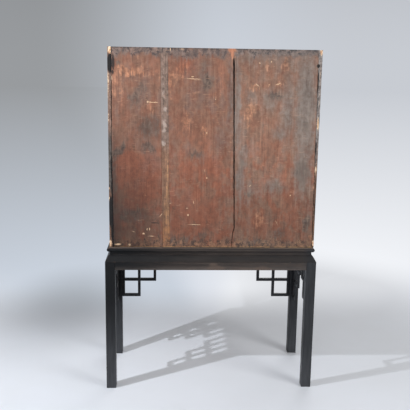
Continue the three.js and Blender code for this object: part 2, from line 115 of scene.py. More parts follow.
def add_camera():
    camera = placed("camera", bpy.data.cameras.new("camera"))
    camera.data.lens = CAMERA_LENS
    camera.data.clip_end = VIEW_DEPTH
    turn = Matrix.Rotation(math.pi - CAMERA_YAW, 4, "Z")
    turn @= Matrix.Rotation(math.pi / 2 - CAMERA_PITCH, 4, "X") @ Matrix.Rotation(CAMERA_ROLL, 4, "Z")
    camera.matrix_world = Matrix.Translation(CAMERA_PLACE) @ turn
    bpy.context.scene.camera = camera


def add_lamp(name, place, aim, size, power, colour):
    lamp = placed(name, bpy.data.lights.new(name, "AREA"))
    lamp.data.shape = "DISK"
    lamp.data.size = size
    lamp.data.energy = power
    lamp.data.color = colour
    lamp.location = place
    lamp.rotation_mode = "QUATERNION"
    lamp.rotation_quaternion = (Vector(aim) - Vector(place)).to_track_quat("-Z", "Y")


class Shade:
    """Builds one node tree with short calls. Nearly every call returns an output socket."""

    def __init__(self, tree):
        self.tree = tree
        self.tree.nodes.clear()

    def add(self, kind, *values, out=0, inputs=(), **settings):
        """Adds a node, sets it up and feeds its inputs, in order or as a mapping names them."""
        node = self.tree.nodes.new("ShaderNode" + kind)
        for key, value in settings.items():
            setattr(node, key, value)
        for slot, value in [*enumerate(values), *dict(inputs).items()]:
            self.feed(node.inputs[slot], value)
        return node.outputs[out] if len(node.outputs) else None

    def feed(self, socket, value):
        if isinstance(value, bpy.types.NodeSocket):
            self.tree.links.new(value, socket)
        elif value is not None:
            socket.default_value = value

    def math(self, operation, a, b=0.5, c=0.5):
        return self.add("Math", a, b, c, operation=operation)

    def times(self, first, *others):
        for other in others:
            first = self.math("MULTIPLY", first, other)
        return first

    def minus(self, a, b):
        return self.math("SUBTRACT", a, b)

    def most(self, a, b):
        return self.math("MAXIMUM", a, b)

    def scaled(self, value, factor, start):
        return self.math("MULTIPLY_ADD", value, factor, start)

    def blend(self, *pairs):
        """A weighted sum of values."""
        total, *others = [self.times(value, weight) for value, weight in pairs]
        for other in others:
            total = self.math("ADD", total, other)
        return total

    def vector(self, operation, a, b=(0, 0, 0), out=0):
        return self.add("VectorMath", a, b, operation=operation, out=out)

    def flat(self, point):
        """A point seen square to the back, without its depth."""
        return self.vector("MULTIPLY", point, (1, 0, 1))

    def span(self, value, low, high, bottom=0.0, top=1.0):
        return self.add("MapRange", value, low, high, bottom, top, interpolation_type="SMOOTHSTEP")

    def mix(self, share, a, b, blend="MIX"):
        return self.add("Mix", inputs={0: share, 6: a, 7: b}, out=2, data_type="RGBA", blend_type=blend)

    def lay(self, colour, paint, share, amount=None):
        """Lays a paint over a colour by a share, which an amount can weaken."""
        return self.mix(share if amount is None else self.times(share, amount), colour, paint)

    def coats(self, colour, *layers):
        """Lays paints over a colour in turn, each with its share and any amount."""
        for layer in layers:
            colour = self.lay(colour, *layer)
        return colour

    def noise(self, point, scale, detail, rough, stretch=(1, 1, 1)):
        stretched = self.vector("MULTIPLY", point, stretch)
        inputs = {"Vector": stretched, "Scale": scale, "Detail": detail, "Roughness": rough}
        return self.add("TexNoise", inputs=inputs)

    def warp(self, point, scale, amount):
        """A point moved about by noise."""
        moved = self.add("TexNoise", inputs={"Vector": point, "Scale": scale, "Detail": 2}, out=1)
        centred = self.vector("SUBTRACT", moved, (0.5, 0.5, 0.5))
        return self.vector("ADD", point, self.vector("MULTIPLY", centred, (amount,) * 3))

    def cracks(self, point, scale):
        inputs = {"Vector": point, "Scale": scale}
        return self.add("TexVoronoi", feature="DISTANCE_TO_EDGE", inputs=inputs)

    def point(self):
        return self.add("TexCoord", out="Object")

    def part(self, point, axis):
        return self.add("SeparateXYZ", point, out=axis)

    def zone(self, point, across, *heights):
        """Share of the places between two lines across, if given, and between pairs of heights."""
        shares = [self.span(self.part(point, 0), *across)] if across else []
        shares += [self.span(self.part(point, 2), *pair) for pair in heights]
        return self.times(*shares)

    def edges(self, radius):
        """Near 1 along the outer edges of a solid."""
        bevel = self.add("Bevel", samples=4, inputs={"Radius": radius})
        alike = self.vector("DOT_PRODUCT", bevel, self.add("NewGeometry", out="Normal"), out=1)
        return self.span(self.minus(1.0, alike), 0.03, 0.25)

    def worn(self, radius, texture, low, high):
        """Near 1 along the outer edges where a texture is high."""
        return self.times(self.edges(radius), self.span(texture, low, high))

    def upward(self, low=0.6, high=0.95):
        return self.span(self.part(self.add("NewGeometry", out="Normal"), 2), low, high)

    def bump(self, height, strength, distance):
        return self.add("Bump", inputs={"Strength": strength, "Distance": distance, "Height": height})

    def principled(self, colour, rough, normal=None, **fixed):
        inputs = {"Base Color": colour, "Roughness": rough, "Normal": normal}
        inputs.update({key.replace("_", " "): value for key, value in fixed.items()})
        return self.add("BsdfPrincipled", inputs=inputs)

    def surface(self, *values, **fixed):
        self.add("OutputMaterial", self.principled(*values, **fixed))


def made(name, paint, *values, **settings):
    """A material whose node tree is built by a function, from the point being shaded."""
    material = bpy.data.materials.new(name)
    material.use_nodes = True
    s = Shade(material.node_tree)
    paint(s, s.point(), *values, **settings)
    return material


def rgb(red, green, blue):
    """A colour given as it looks on a screen, from 0 to 255."""
    def linear(level):
        share = level / 255
        return share / 12.92 if share <= 0.04045 else ((share + 0.055) / 1.055) ** 2.4
    return (linear(red), linear(green), linear(blue), 1)


# Stage

def backdrop(s, direction, near):
    """Backdrop colour toward a direction: pale, greyer at one side and whiter at the other."""
    across = s.part(direction, 0)
    facing = s.span(s.part(direction, 1), -0.2, -0.8)
    middle = s.mix(near, rgb(201, 207, 216), rgb(226, 230, 238))
    left = s.mix(near, rgb(147, 149, 151), rgb(201, 209, 220))
    right = s.mix(near, rgb(195, 199, 206), rgb(245, 247, 251))
    colour = s.lay(middle, left, s.span(across, -0.09, 0.20), facing)
    return s.lay(colour, right, s.span(across, -0.05, -0.26), facing)


def pale_floor(s, point):
    """Pale floor that passes into the backdrop's colour away from the object, with a painted shadow beside
    it.
    """
    level = s.vector("MULTIPLY", point, (1, 1, 0))
    away = s.vector("LENGTH", level, out=1)
    colour = s.mix(s.noise(point, 3.0, 3, 0.6), FLOOR_COLOUR, rgb(224, 229, 239))
    # Painted shadow: a soft darker patch on the floor and its glow, standing in for the cabinet's cast
    # shadow
    offset = s.vector("DIVIDE", s.vector("SUBTRACT", level, PAINTED_SHADOW_PLACE), PAINTED_SHADOW_REACH)
    painted_shadow = s.span(s.vector("LENGTH", offset, out=1), 1.3, 0.1, 0, 0.55)
    matt = s.principled(s.lay(colour, rgb(120, 125, 132), painted_shadow), 0.75, Specular_IOR_Level=0.2)
    near = s.math("DIVIDE", NEAR_REACH, s.math("ADD", away, CAMERA_AWAY))
    glowing = backdrop(s, s.vector("NORMALIZE", level), s.math("MINIMUM", near, 1.0))
    glow = s.add("Emission", s.lay(glowing, rgb(150, 155, 160), painted_shadow))
    behind = s.times(s.span(s.part(point, 1), -0.35, -1.15), s.span(s.part(point, 0), -0.8, 0.1, 0.5, 1.0))
    share = s.most(s.span(away, 1.0, 2.4), behind)
    s.add("OutputMaterial", s.add("MixShader", share, matt, glow))


def add_stage():
    bm = bmesh.new()
    bmesh.ops.create_circle(bm, cap_ends=True, segments=96, radius=FLOOR_RADIUS)
    mesh = bpy.data.meshes.new("floor")
    bm.to_mesh(mesh)
    bm.free()
    mesh.materials.append(made("floor", pale_floor))
    floor = placed("floor", mesh)

    world = bpy.data.worlds.new("studio")
    bpy.context.scene.world = world
    world.use_nodes = True
    s = Shade(world.node_tree)
    seen = s.add("LightPath", out="Is Camera Ray")
    for ray in ("Is Glossy Ray", "Is Transmission Ray"):
        seen = s.most(seen, s.add("LightPath", out=ray))
    direction = s.add("TexCoord", out="Generated")
    upward = s.span(s.part(direction, 2), 0.0, 0.25, 1.0, 0.79)
    colour = s.mix(1.0, backdrop(s, direction, HORIZON_NEAR), upward, blend="MULTIPLY")
    sky = s.add("Background", (*WARM_WHITE, 1), SKY_POWER)
    s.add("OutputWorld", s.add("MixShader", seen, sky, s.add("Background", colour)))


add_camera()
add_stage()
for lamp in LAMPS:
    add_lamp(*lamp)

# Marks in millimetres: across, up, half width, half height, strength and, if turned, degrees
DARK_SMUDGES = ((452, 1486, 15, 39, 1), (349, 1336, 39, 34, 0.9, 15), (319, 1375, 35, 30, 0.8),
    (298, 1212, 44, 52, 0.9), (272, 1243, 35, 43, 0.7), (324, 1238, 35, 34, 0.6),
    (420, 1115, 39, 17, 1.7, -35), (446, 1093, 26, 22, 1.5), (450, 1132, 17, 39, 0.6),
    (442, 1066, 26, 22, 0.5), (41, 1467, 22, 56, 0.6), (31, 1408, 30, 39, 1.15),
    (-261, 1349, 39, 22, 1), (281, 1125, 39, 22, 1), (250, 1208, 26, 60, 0.7),
    (437, 1000, 16, 172, 0.75), (416, 1482, 17, 13, 1.2), (245, 725, 22, 30, 0.7),
    (429, 696, 26, 17, 1.1), (-403, 1220, 22, 26, 0.8), (422, 924, 30, 56, 0.45),
    (88, 1092, 52, 17, 0.9), (-120, 1063, 13, 52, 0.7), (-8, 1133, 17, 8.6, 0.6),
    (-398, 1021, 35, 69, 0.8), (-381, 1119, 30, 60, 0.5), (-326, 1140, 22, 52, 0.4),
    (-164, 919, 30, 6.9, 0.85, 10), (-217, 952, 87, 34, 0.35), (352, 834, 61, 17, 0.9),
    (397, 816, 35, 26, 0.8, 25), (441, 770, 26, 43, 0.55), (379, 743, 87, 30, 0.4),
    (299, 771, 61, 30, 0.4), (259, 784, 26, 2.6, 0.95, 3), (-301, 741, 39, 30, 0.8),
    (52, 721, 44, 26, 0.85), (-328, 1540, 113, 17, 0.55), (-147, 1542, 52, 13, 0.5),
    (153, 1541, 61, 13, 0.5), (272, 1535, 44, 17, 0.6), (399, 1528, 44, 17, 0.5),
    (411, 1154, 44, 34, 0.4), (-51, 1181, 26, 43, 0.35), (-427, 779, 26, 47, 1),
    (-98, 869, 17, 155, 0.45), (160, 707, 70, 22, 0.75), (-134, 1036, 35, 69, 0.22))
ORANGE_RUBS = ((362, 1448, 91, 17, 1, 3), (417, 1424, 30, 39, 0.6), (323, 1463, 35, 22, 0.7),
    (281, 1443, 48, 22, 0.6), (413, 1361, 39, 86, 0.55), (365, 1525, 61, 13, 0.45),
    (186, 1423, 26, 60, 0.75), (148, 1470, 39, 26, 0.55), (-71, 1545, 17, 17, 1.5),
    (-76, 1528, 11, 15, 1.5), (276, 1277, 26, 52, 0.7), (197, 1338, 5.2, 155, 0.6),
    (-19, 1392, 4.8, 112, 0.55), (74, 1365, 39, 22, 0.5), (-173, 1390, 35, 22, 0.8, -25),
    (-285, 1405, 26, 17, 0.65, 20), (-238, 1404, 13, 8.6, 0.8), (-231, 1480, 13, 39, 0.7),
    (37, 1198, 15, 15, 0.9), (11, 1242, 13, 13, 0.5), (0, 1341, 13, 13, 0.6), (43, 1297, 35, 34, 0.35),
    (-158, 1283, 30, 78, 0.8), (116, 1236, 35, 52, 0.7), (165, 1432, 26, 43, 0.6),
    (-204, 801, 26, 60, 0.75), (-308, 1486, 22, 39, 0.7), (-348, 925, 17, 34, 0.55),
    (-308, 792, 8.7, 34, 0.55, -25), (-446, 962, 6.5, 39, 0.9), (-449, 714, 17, 17, 0.9),
    (451, 691, 17, 13, 0.9), (16, 999, 44, 26, 0.35), (321, 743, 35, 26, 0.45), (281, 988, 44, 60, 0.3))
CLEAN_RED = ((377, 1040, 70, 86, 1.2), (290, 1015, 52, 112, 1.2), (325, 934, 74, 56, 1.1),
    (109, 1030, 52, 52, 0.8), (8, 1044, 52, 65, 0.9), (112, 863, 52, 103, 0.75),
    (22, 827, 65, 95, 0.75), (294, 907, 48, 52, 1.1), (160, 780, 35, 78, 0.8), (-204, 782, 52, 52, 0.9),
    (-152, 869, 35, 60, 0.6), (-234, 1126, 52, 86, 0.4), (-345, 912, 44, 86, 0.75),
    (-387, 774, 39, 52, 0.55), (127, 1470, 52, 39, 0.9), (-259, 1042, 48, 43, 0.4),
    (388, 1327, 44, 52, 0.5), (36, 1150, 52, 52, 0.5), (107, 1210, 70, 86, 0.45),
    (281, 1286, 44, 52, 0.3))
GREY_AREAS = ((-399, 1303, 56, 310, 1), (-316, 1306, 39, 155, 0.8), (-199, 1509, 113, 39, 0.65),
    (-240, 1335, 52, 60, 0.65), (-393, 1039, 48, 155, 0.9), (-438, 839, 30, 129, 0.4),
    (-99, 1312, 17, 284, 0.8), (-65, 1354, 17, 250, 0.7), (-120, 1000, 26, 138, 0.85),
    (-164, 938, 65, 43, 0.6), (-267, 952, 61, 43, 0.75), (-289, 1184, 52, 26, 0.75),
    (-128, 1107, 35, 34, 0.8), (40, 1434, 35, 86, 0.6), (-30, 1163, 39, 69, 0.6),
    (289, 1195, 44, 43, 0.5), (349, 1315, 44, 34, 0.5), (436, 1013, 20, 181, 0.4),
    (-157, 1343, 30, 39, 0.7), (-156, 883, 22, 22, 0.6), (61, 1083, 30, 22, 0.6),
    (334, 812, 61, 17, 0.6), (-335, 1482, 35, 39, 0.6), (246, 1523, 26, 22, 0.9),
    (254, 697, 30, 17, 0.6), (-207, 694, 104, 17, 0.8), (414, 834, 52, 52, 0.5),
    (144, 1520, 96, 30, 0.75), (-5, 1527, 78, 17, 0.75), (-354, 1537, 104, 22, 0.8),
    (155, 697, 87, 17, 0.8), (255, 1208, 26, 69, 0.6), (294, 1164, 35, 26, 0.5),
    (408, 1528, 52, 26, 0.5), (91, 1386, 44, 22, 0.5), (180, 1113, 17, 146, 0.35),
    (-297, 1215, 35, 52, 0.5))
BLACK_SPOTS = ((-87, 1204, 2, 267, 0.7), (438, 1486, 8.7, 39, 1.2), (440, 1445, 6.1, 13, 1),
    (-444, 1483, 4.8, 6.8, 2.4), (-450, 1119, 4.3, 26, 0.9), (-445, 1137, 3.5, 17, 0.3),
    (-453, 871, 2.2, 60, 0.7), (-456, 746, 2.2, 43, 0.6), (445, 1000, 3.5, 129, 0.6),
    (259, 785, 22, 2.2, 1.3, 4))
PALE_NICKS = ((94, 1421, 40, 2.2, 0.9, 2), (97, 1430, 9, 3.6, 0.8), (268, 1319, 30, 2.2, 0.85, 2),
    (291, 1321, 5, 5, 0.85), (-184, 1398, 14, 2.2, 0.8, 40), (-234, 1400, 4, 3, 0.75),
    (-273, 1404, 14, 2.6, 0.8, -20), (-241, 1498, 3, 4, 1), (-191, 1492, 6, 2.4, 0.8),
    (33, 1190, 5, 5, 0.75), (-3, 1334, 3, 4, 0.7), (310, 735, 6, 4, 1), (294, 755, 2.5, 7, 1),
    (283, 757, 2.2, 7, 0.9), (272, 724, 24, 2, 0.75), (116, 853, 7, 2.2, 0.85), (111, 822, 4.5, 4.8, 1),
    (87, 880, 2, 10, 0.8, -6), (80, 778, 38, 1.8, 0.85, 2), (30, 990, 4, 4, 0.8),
    (40, 1022, 1.8, 10, 0.6), (-164, 957, 8, 2, 0.8, -45), (-346, 914, 3.5, 3.5, 0.85),
    (-289, 787, 2, 20, 0.55, -24), (444, 1420, 3, 12, 0.75), (144, 1545, 12, 5, 0.6),
    (194, 1542, 3, 10, 0.8), (424, 686, 20, 6, 0.75), (374, 684, 10, 8, 0.6),
    (222, 832, 2.2, 33, 0.8, 42), (196, 872, 2.2, 15, 0.7, 62), (322, 798, 25, 1.8, 0.55, -3),
    (300, 910, 30, 1.6, 0.4, 2), (355, 745, 16, 2, 0.5, 20))
STRIP_PATCHES = ((217, 1288, 10, 13, 1), (216, 1225, 12, 20, 0.9), (220, 1195, 9, 16, 0.9),
    (222, 1143, 13, 13, 1), (223, 1380, 10, 70, 0.55), (225, 1440, 6, 40, 0.5))
FRESH_WOOD = ((-70, 1547, 17, 18, 1.3), (-72, 1526, 9, 13, 1.3))
LIP_DARK = ((451, 1482, 13, 41, 1.3), (446, 1394, 2.2, 43, 0.6), (449, 1141, 2.6, 52, 0.5),
    (449, 1031, 3.9, 69, 0.8), (448, 942, 5.2, 39, 0.9), (454, 834, 9.6, 69, 1.4),
    (451, 742, 3.9, 43, 0.9), (-446, 1483, 4.8, 7, 2.4), (-448, 1415, 2, 52, 1),
    (-450, 1321, 1.7, 52, 0.7), (-448, 1251, 1.7, 34, 0.6), (-452, 1128, 3.5, 34, 0.8),
    (-454, 1008, 1.7, 43, 0.4), (-459, 871, 3.5, 60, 0.6), (-461, 732, 2.2, 43, 0.5))
LIP_PALE = ((451, 1536, 8.7, 19, 1.4), (460, 1411, 3.5, 43, 0.9), (461, 1360, 3, 26, 0.8),
    (461, 1249, 3.9, 43, 0.6), (461, 942, 3.9, 6.5, 1), (461, 892, 4.8, 9.5, 1.3),
    (461, 691, 9.6, 17, 1.3), (-456, 1543, 6.5, 17, 1.2), (-455, 1445, 2.6, 60, 0.6),
    (-457, 1338, 2.6, 60, 0.5), (-455, 1234, 4.3, 30, 1.3), (-455, 1030, 5.2, 34, 0.8),
    (-463, 894, 2.2, 86, 0.5), (-460, 695, 7.8, 15, 1.3))
RAIL_RUBS = ((-19, 581, 44, 11, 1.3), (-5, 597, 26, 9.5, 1), (-229, 581, 52, 13, 0.8),
    (-128, 576, 70, 8.6, 0.7), (100, 576, 44, 6.9, 0.6))


def mark_group():
    """One soft ellipse in the plane of the back: near 1 inside, 0 outside."""
    tree = bpy.data.node_groups.new("mark", "ShaderNodeTree")
    for name, kind in (("Point", "Vector"), ("Place", "Vector"), ("Size", "Vector"), ("Turn", "Float"),
                       ("Strength", "Float")):
        tree.interface.new_socket(name, in_out="INPUT", socket_type="NodeSocket" + kind)
    tree.interface.new_socket("Share", in_out="OUTPUT", socket_type="NodeSocketFloat")
    s = Shade(tree)
    source = tree.nodes.new("NodeGroupInput").outputs
    moved = s.vector("SUBTRACT", source["Point"], source["Place"])
    inputs = {"Vector": moved, "Angle": source["Turn"]}
    turned = s.add("VectorRotate", rotation_type="Y_AXIS", inputs=inputs)
    reach = s.vector("LENGTH", s.vector("DIVIDE", turned, source["Size"]), out=1)
    share = s.times(s.span(reach, 1.6, 0.2), source["Strength"])
    s.feed(tree.nodes.new("NodeGroupOutput").inputs[0], share)
    return tree


MARK = mark_group()


def marks(s, point, listed, low=-1000, high=1000):
    """Share of the marks of one list that reach between two places in millimetres across.

    With none in reach, the list's first mark stands in, where it shows nothing.
    """
    total = None
    near = [m for m in listed if m[0] + 1.7 * m[2] > low and m[0] - 1.7 * m[2] < high]
    for across, up, wide, tall, strength, *turn in near or listed[:1]:
        angle = math.radians(turn[0]) if turn else 0.0
        share = s.add("Group", point, (across * MM, 0, up * MM), (wide * MM, 1, tall * MM), angle,
                      strength, node_tree=MARK)
        total = share if total is None else s.most(total, share)
    return total


def ragged(s, share, texture, depth, low, high):
    """Breaks a soft share into patches with a noisy edge."""
    return s.span(s.math("ADD", share, s.scaled(texture, depth, -depth / 2)), low, high)


# Materials

def grain_stretch(along, long=0.03):
    return tuple(long if axis == along else 1.0 for axis in "xyz")


def rail_wear(s, colour, point, streak, cloud):
    """Brown rubbing on the rear rail, most of all along its lower edge, where a lighter band is partly
    painted highlight.
    """
    across = s.part(point, 0)
    share = s.times(s.span(across, 0.44, -0.02), s.span(across, -0.46, -0.40),
                    s.span(streak, 0.30, 0.62, 0.35, 1.0))
    colour = s.lay(colour, s.mix(cloud, (0.042, 0.032, 0.028, 1), (0.070, 0.056, 0.049, 1)), share)
    # Lighter band along the lower edge: partly rubbed wood, partly a painted highlight of the floor's
    # reflection
    low_edge_wear_and_highlight = s.times(s.zone(point, None, (0.594, 0.572)), s.span(streak, 0.30, 0.55, 0.4, 1.0),
                       s.span(across, 0.40, 0.10, 0.35, 0.8))
    colour = s.lay(colour, (0.098, 0.082, 0.074, 1), low_edge_wear_and_highlight)
    loose = s.warp(s.flat(point), 40, 0.010)
    bare = ragged(s, marks(s, loose, RAIL_RUBS), streak, 1.2, 0.25, 0.95)
    return s.lay(colour, (0.105, 0.076, 0.062, 1), bare, 0.8)


def ebonised(s, point, along, rubbed=False):
    """Black-stained wood, greyed toward the feet with dust and at the -X side with a painted sheen, with
    brown showing where it is worn.
    """
    across, height = s.part(point, 0), s.part(point, 2)
    grain = s.noise(s.warp(point, 9, 0.01), 420, 4, 0.6, grain_stretch(along))
    pores = s.noise(point, 1500, 2, 0.5, grain_stretch(along, 0.02))
    cloud = s.noise(point, 14, 4, 0.6)
    streak = s.noise(s.warp(point, 6, 0.02), 90, 5, 0.7, grain_stretch(along, 0.08))
    colour = s.mix(grain, (0.0035, 0.0040, 0.0048, 1), (0.0085, 0.0088, 0.0098, 1))
    # Grey layer: dust toward the feet, and toward -X a painted sheen standing in for a bright lamp's
    # reflection
    dust_and_side_sheen = s.most(s.span(height, 0.46, -0.02), s.span(across, 0.2, -0.4, 0, 0.5))
    dust_and_side_sheen = s.times(dust_and_side_sheen, s.span(streak, 0.25, 0.70, 0.55, 1.15))
    colour = s.lay(colour, (0.060, 0.063, 0.070, 1), dust_and_side_sheen)
    if rubbed:
        colour = rail_wear(s, colour, point, streak, cloud)
    # Painted shade: faces that look upward are painted near black
    colour = s.lay(colour, (0.004, 0.004, 0.005, 1), s.upward(0.12, 0.45), 0.65)
    if rubbed:
        ledge = s.times(s.span(height, FOOT - 6 * MM, FOOT - 2 * MM), s.span(streak, 0.3, 0.6, 0.35, 0.9))
        colour = s.lay(colour, (0.15, 0.11, 0.09, 1), ledge)
    worn = s.worn(2.5 * MM, s.noise(point, 60, 4, 0.7), 0.42, 0.68)
    chips = s.worn(1.6 * MM, s.noise(point, 130, 3, 0.6), 0.66, 0.72)
    dust = s.times(s.upward(), s.span(cloud, 0.3, 0.7, 0.1, 0.35))
    colour = s.coats(colour, (rgb(96, 74, 58), worn, 0.75), (rgb(178, 150, 122), chips),
                     ((0.05, 0.05, 0.055, 1), dust))
    rough = s.span(s.blend((cloud, 0.7), (grain, 0.3)), 0.3, 0.7, 0.36, 0.58)
    relief = s.blend((grain, 0.7), (pores, 0.3))
    s.surface(colour, rough, s.bump(relief, 0.35, 0.25 * MM), Specular_IOR_Level=0.16)


def rear_edge(s, point):
    """Wood of the rear edges: greyed at one side, dusky and then warm at the other, chipped pale."""
    flat = s.flat(point)
    loose = s.warp(flat, 150, 0.005)
    texture = s.noise(flat, 90, 7, 0.78, (1, 1, 0.5))
    grain = s.noise(flat, 260, 5, 0.7, (1, 1, 0.06))
    tone = s.span(texture, 0.40, 0.60)
    brown = s.mix(tone, rgb(58, 45, 40), rgb(132, 98, 78))
    grey = s.mix(tone, rgb(98, 91, 88), rgb(162, 153, 149))
    warm = s.mix(tone, rgb(96, 74, 64), rgb(142, 116, 103))
    dusky = s.mix(tone, rgb(54, 51, 48), rgb(100, 93, 88))
    wood = s.lay(brown, grey, s.zone(point, (0.1, -0.1), (0.95, 1.20)))
    other = s.lay(dusky, warm, s.zone(point, None, (1.15, 1.21)))
    wood = s.lay(wood, other, s.zone(point, (-0.1, 0.1), (0.90, 0.96)))
    wood = s.lay(wood, rgb(52, 42, 38), grain, 0.35)
    share = ragged(s, marks(s, loose, LIP_PALE), texture, 2.2, 0.40, 1.00)
    wood = s.lay(wood, s.mix(tone, rgb(176, 128, 94), rgb(226, 202, 172)), share)
    share = ragged(s, marks(s, loose, LIP_DARK), texture, 1.4, 0.30, 0.70)
    return s.lay(wood, s.mix(texture, rgb(10, 10, 12), rgb(38, 34, 33)), share)


def lacquer(s, point, ground, deep, under, carcase=False, dark_rear=False):
    """Glossy lacquer with fine crazing, hairline scratches and rubbed edges."""
    depth = s.part(point, 1)
    cloud = s.noise(point, 7, 4, 0.6)
    colour = s.mix(cloud, deep, ground)
    if carcase:
        inside = s.minus(SIDE_INNER + 0.4 * MM, s.math("ABSOLUTE", s.part(point, 0)))
        above = s.minus(CEILING + 0.4 * MM, s.part(point, 2))
        inner = s.math("MINIMUM", s.span(inside, 0, 0.2 * MM), s.span(above, 0, 0.2 * MM))
        colour = s.lay(colour, s.mix(cloud, (0.12, 0.013, 0.008, 1), (0.20, 0.025, 0.014, 1)), inner)
    lines = s.minus(1.0, s.span(s.cracks(s.warp(point, 30, 0.006), 120), 0.0, 0.03))
    spread = s.span(s.noise(point, 5, 3, 0.5), 0.45, 0.7)
    scratch = s.span(s.noise(s.warp(point, 4, 0.05), 260, 2, 0.4, (0.05, 0.3, 1)), 0.70, 0.74)
    patchy = s.noise(point, 70, 5, 0.7)
    bare = s.worn(1.5 * MM, s.noise(point, 110, 4, 0.7), 0.58, 0.68)
    colour = s.coats(colour, (under, s.times(lines, spread), 0.5), (under, scratch, 0.25),
                     (under, s.worn(2.2 * MM, patchy, 0.40, 0.62), 0.85), (rgb(186, 150, 112), bare))
    rough = s.span(cloud, 0.3, 0.7, 0.16, 0.34)
    coat = 0.35
    if carcase:
        rear = s.span(depth, BACK_FACE - 0.9 * MM, BACK_FACE - 0.4 * MM)
        colour = s.lay(colour, rear_edge(s, point), rear)
        rough = s.most(rough, s.times(rear, 0.75))
        coat = s.scaled(rear, -coat, coat)
    if dark_rear:
        # Painted shade: a near-black band where the shelves meet the back boards
        rear = s.span(depth, BACK_INSIDE - 4 * MM, BACK_INSIDE - 2 * MM)
        colour = s.lay(colour, rgb(22, 16, 13), rear)
    relief = s.blend((patchy, 0.4), (lines, -0.5))
    s.surface(colour, rough, s.bump(relief, 0.12, 0.2 * MM), Coat_Weight=coat, Coat_Roughness=0.12,
              Specular_IOR_Level=0.25)


def drawer_wood(s, point):
    """Red lacquer on a drawer's face and plain wood on the box behind it."""
    rings = s.noise(s.warp(point, 5, 0.03), 90, 3, 0.55, grain_stretch("x", 0.06))
    fine = s.noise(point, 700, 3, 0.6, grain_stretch("x"))
    wood = s.mix(s.span(rings, 0.35, 0.65), rgb(120, 82, 52), rgb(176, 132, 90))
    wood = s.lay(wood, rgb(96, 64, 40), fine, 0.35)
    cloud = s.noise(point, 8, 4, 0.6)
    red = s.mix(s.span(cloud, 0.35, 0.65), (0.115, 0.013, 0.008, 1), (0.20, 0.026, 0.015, 1))
    patchy = s.noise(point, 80, 5, 0.7)
    smudge = s.noise(point, 22, 5, 0.7, (0.6, 1, 1))
    red = s.lay(red, rgb(58, 24, 17), s.span(smudge, 0.52, 0.70, 0, 0.55))
    red = s.lay(red, rgb(54, 26, 18), s.worn(2.5 * MM, patchy, 0.38, 0.60))
    depth = s.math("ADD", s.part(point, 1), s.times(patchy, 1.2 * MM))
    front = s.minus(1.0, s.span(depth, DRAWER_FACE + 1.6 * MM, DRAWER_FACE + 2.4 * MM))
    rough = s.minus(0.68, s.times(front, 0.42))
    relief = s.bump(s.blend((rings, 0.4), (fine, 0.6)), 0.2, 0.15 * MM)
    s.surface(s.lay(wood, red, front), rough, relief, Coat_Weight=0.1, Coat_Roughness=0.2)


def aged_brass(s, point):
    """Old brass: brown patina in the hollows and cleaner metal on the edges."""
    cloud = s.noise(point, 55, 5, 0.65)
    spots = s.span(s.noise(point, 260, 4, 0.6), 0.60, 0.70)
    colour = s.mix(s.span(cloud, 0.35, 0.65), rgb(118, 90, 54), rgb(172, 140, 90))
    colour = s.coats(colour, (rgb(70, 48, 28), spots, 0.7), (rgb(212, 182, 128), s.edges(0.8 * MM), 0.6))
    rough = s.span(cloud, 0.3, 0.7, 0.28, 0.50)
    s.surface(colour, rough, s.bump(s.noise(point, 900, 3, 0.6), 0.12, 0.1 * MM), Metallic=1.0)


def rubbed_gilt(s, point):
    """Thin gilt lines, rubbed through in places."""
    worn = s.span(s.noise(point, 120, 5, 0.7), 0.52, 0.66)
    tone = s.mix(s.noise(point, 30, 3, 0.6), rgb(146, 112, 64), rgb(192, 158, 100))
    colour = s.lay(tone, rgb(60, 38, 24), worn, 0.8)
    s.surface(colour, s.span(worn, 0, 1, 0.36, 0.55), s.bump(worn, 0.2, 0.1 * MM), Metallic=0.75)


def coarse_shade_cloth(s, point):
    """Coarse near-black cloth over the split from inside, a dark sheet standing in for the shade there."""
    weave = s.most(s.noise(point, 1500, 1, 0.5, (1, 1, 0.05)), s.noise(point, 1500, 1, 0.5, (0.05, 1, 1)))
    colour = s.mix(s.span(weave, 0.4, 0.7), (0.004, 0.003, 0.003, 1), (0.016, 0.011, 0.008, 1))
    s.surface(colour, s.span(weave, 0.3, 0.7, 0.8, 0.95), s.bump(weave, 0.5, 0.2 * MM))


# The worn back

GRIME_TALL = 70 * MM
SPECKLE_TALL = 75 * MM
FULL_TONE = 0.955
COOL_TINT = (1.0, 1.09, 1.125, 1)
COOL_ACROSS = (-0.06, -0.09)

# Zones of the back painted deeper or paler; the darkening toward the foot and the +X edge is painted shade
# of the light falling off: from and to across, pairs of heights, and the tone lost there
SHADE_AND_TONE_ZONES = (
    (None, (1.13, 0.72), 0.24),
    ((0.17, 0.36), (1.45, 0.86), 0.40),
    ((-0.04, 0.10), (1.05, 1.25), 0.08),
    ((-0.08, -0.12), (0.85, 1.0), (1.42, 1.28), -0.08),
    ((0.39, 0.445), (1.27, 1.13), 0.15),
)


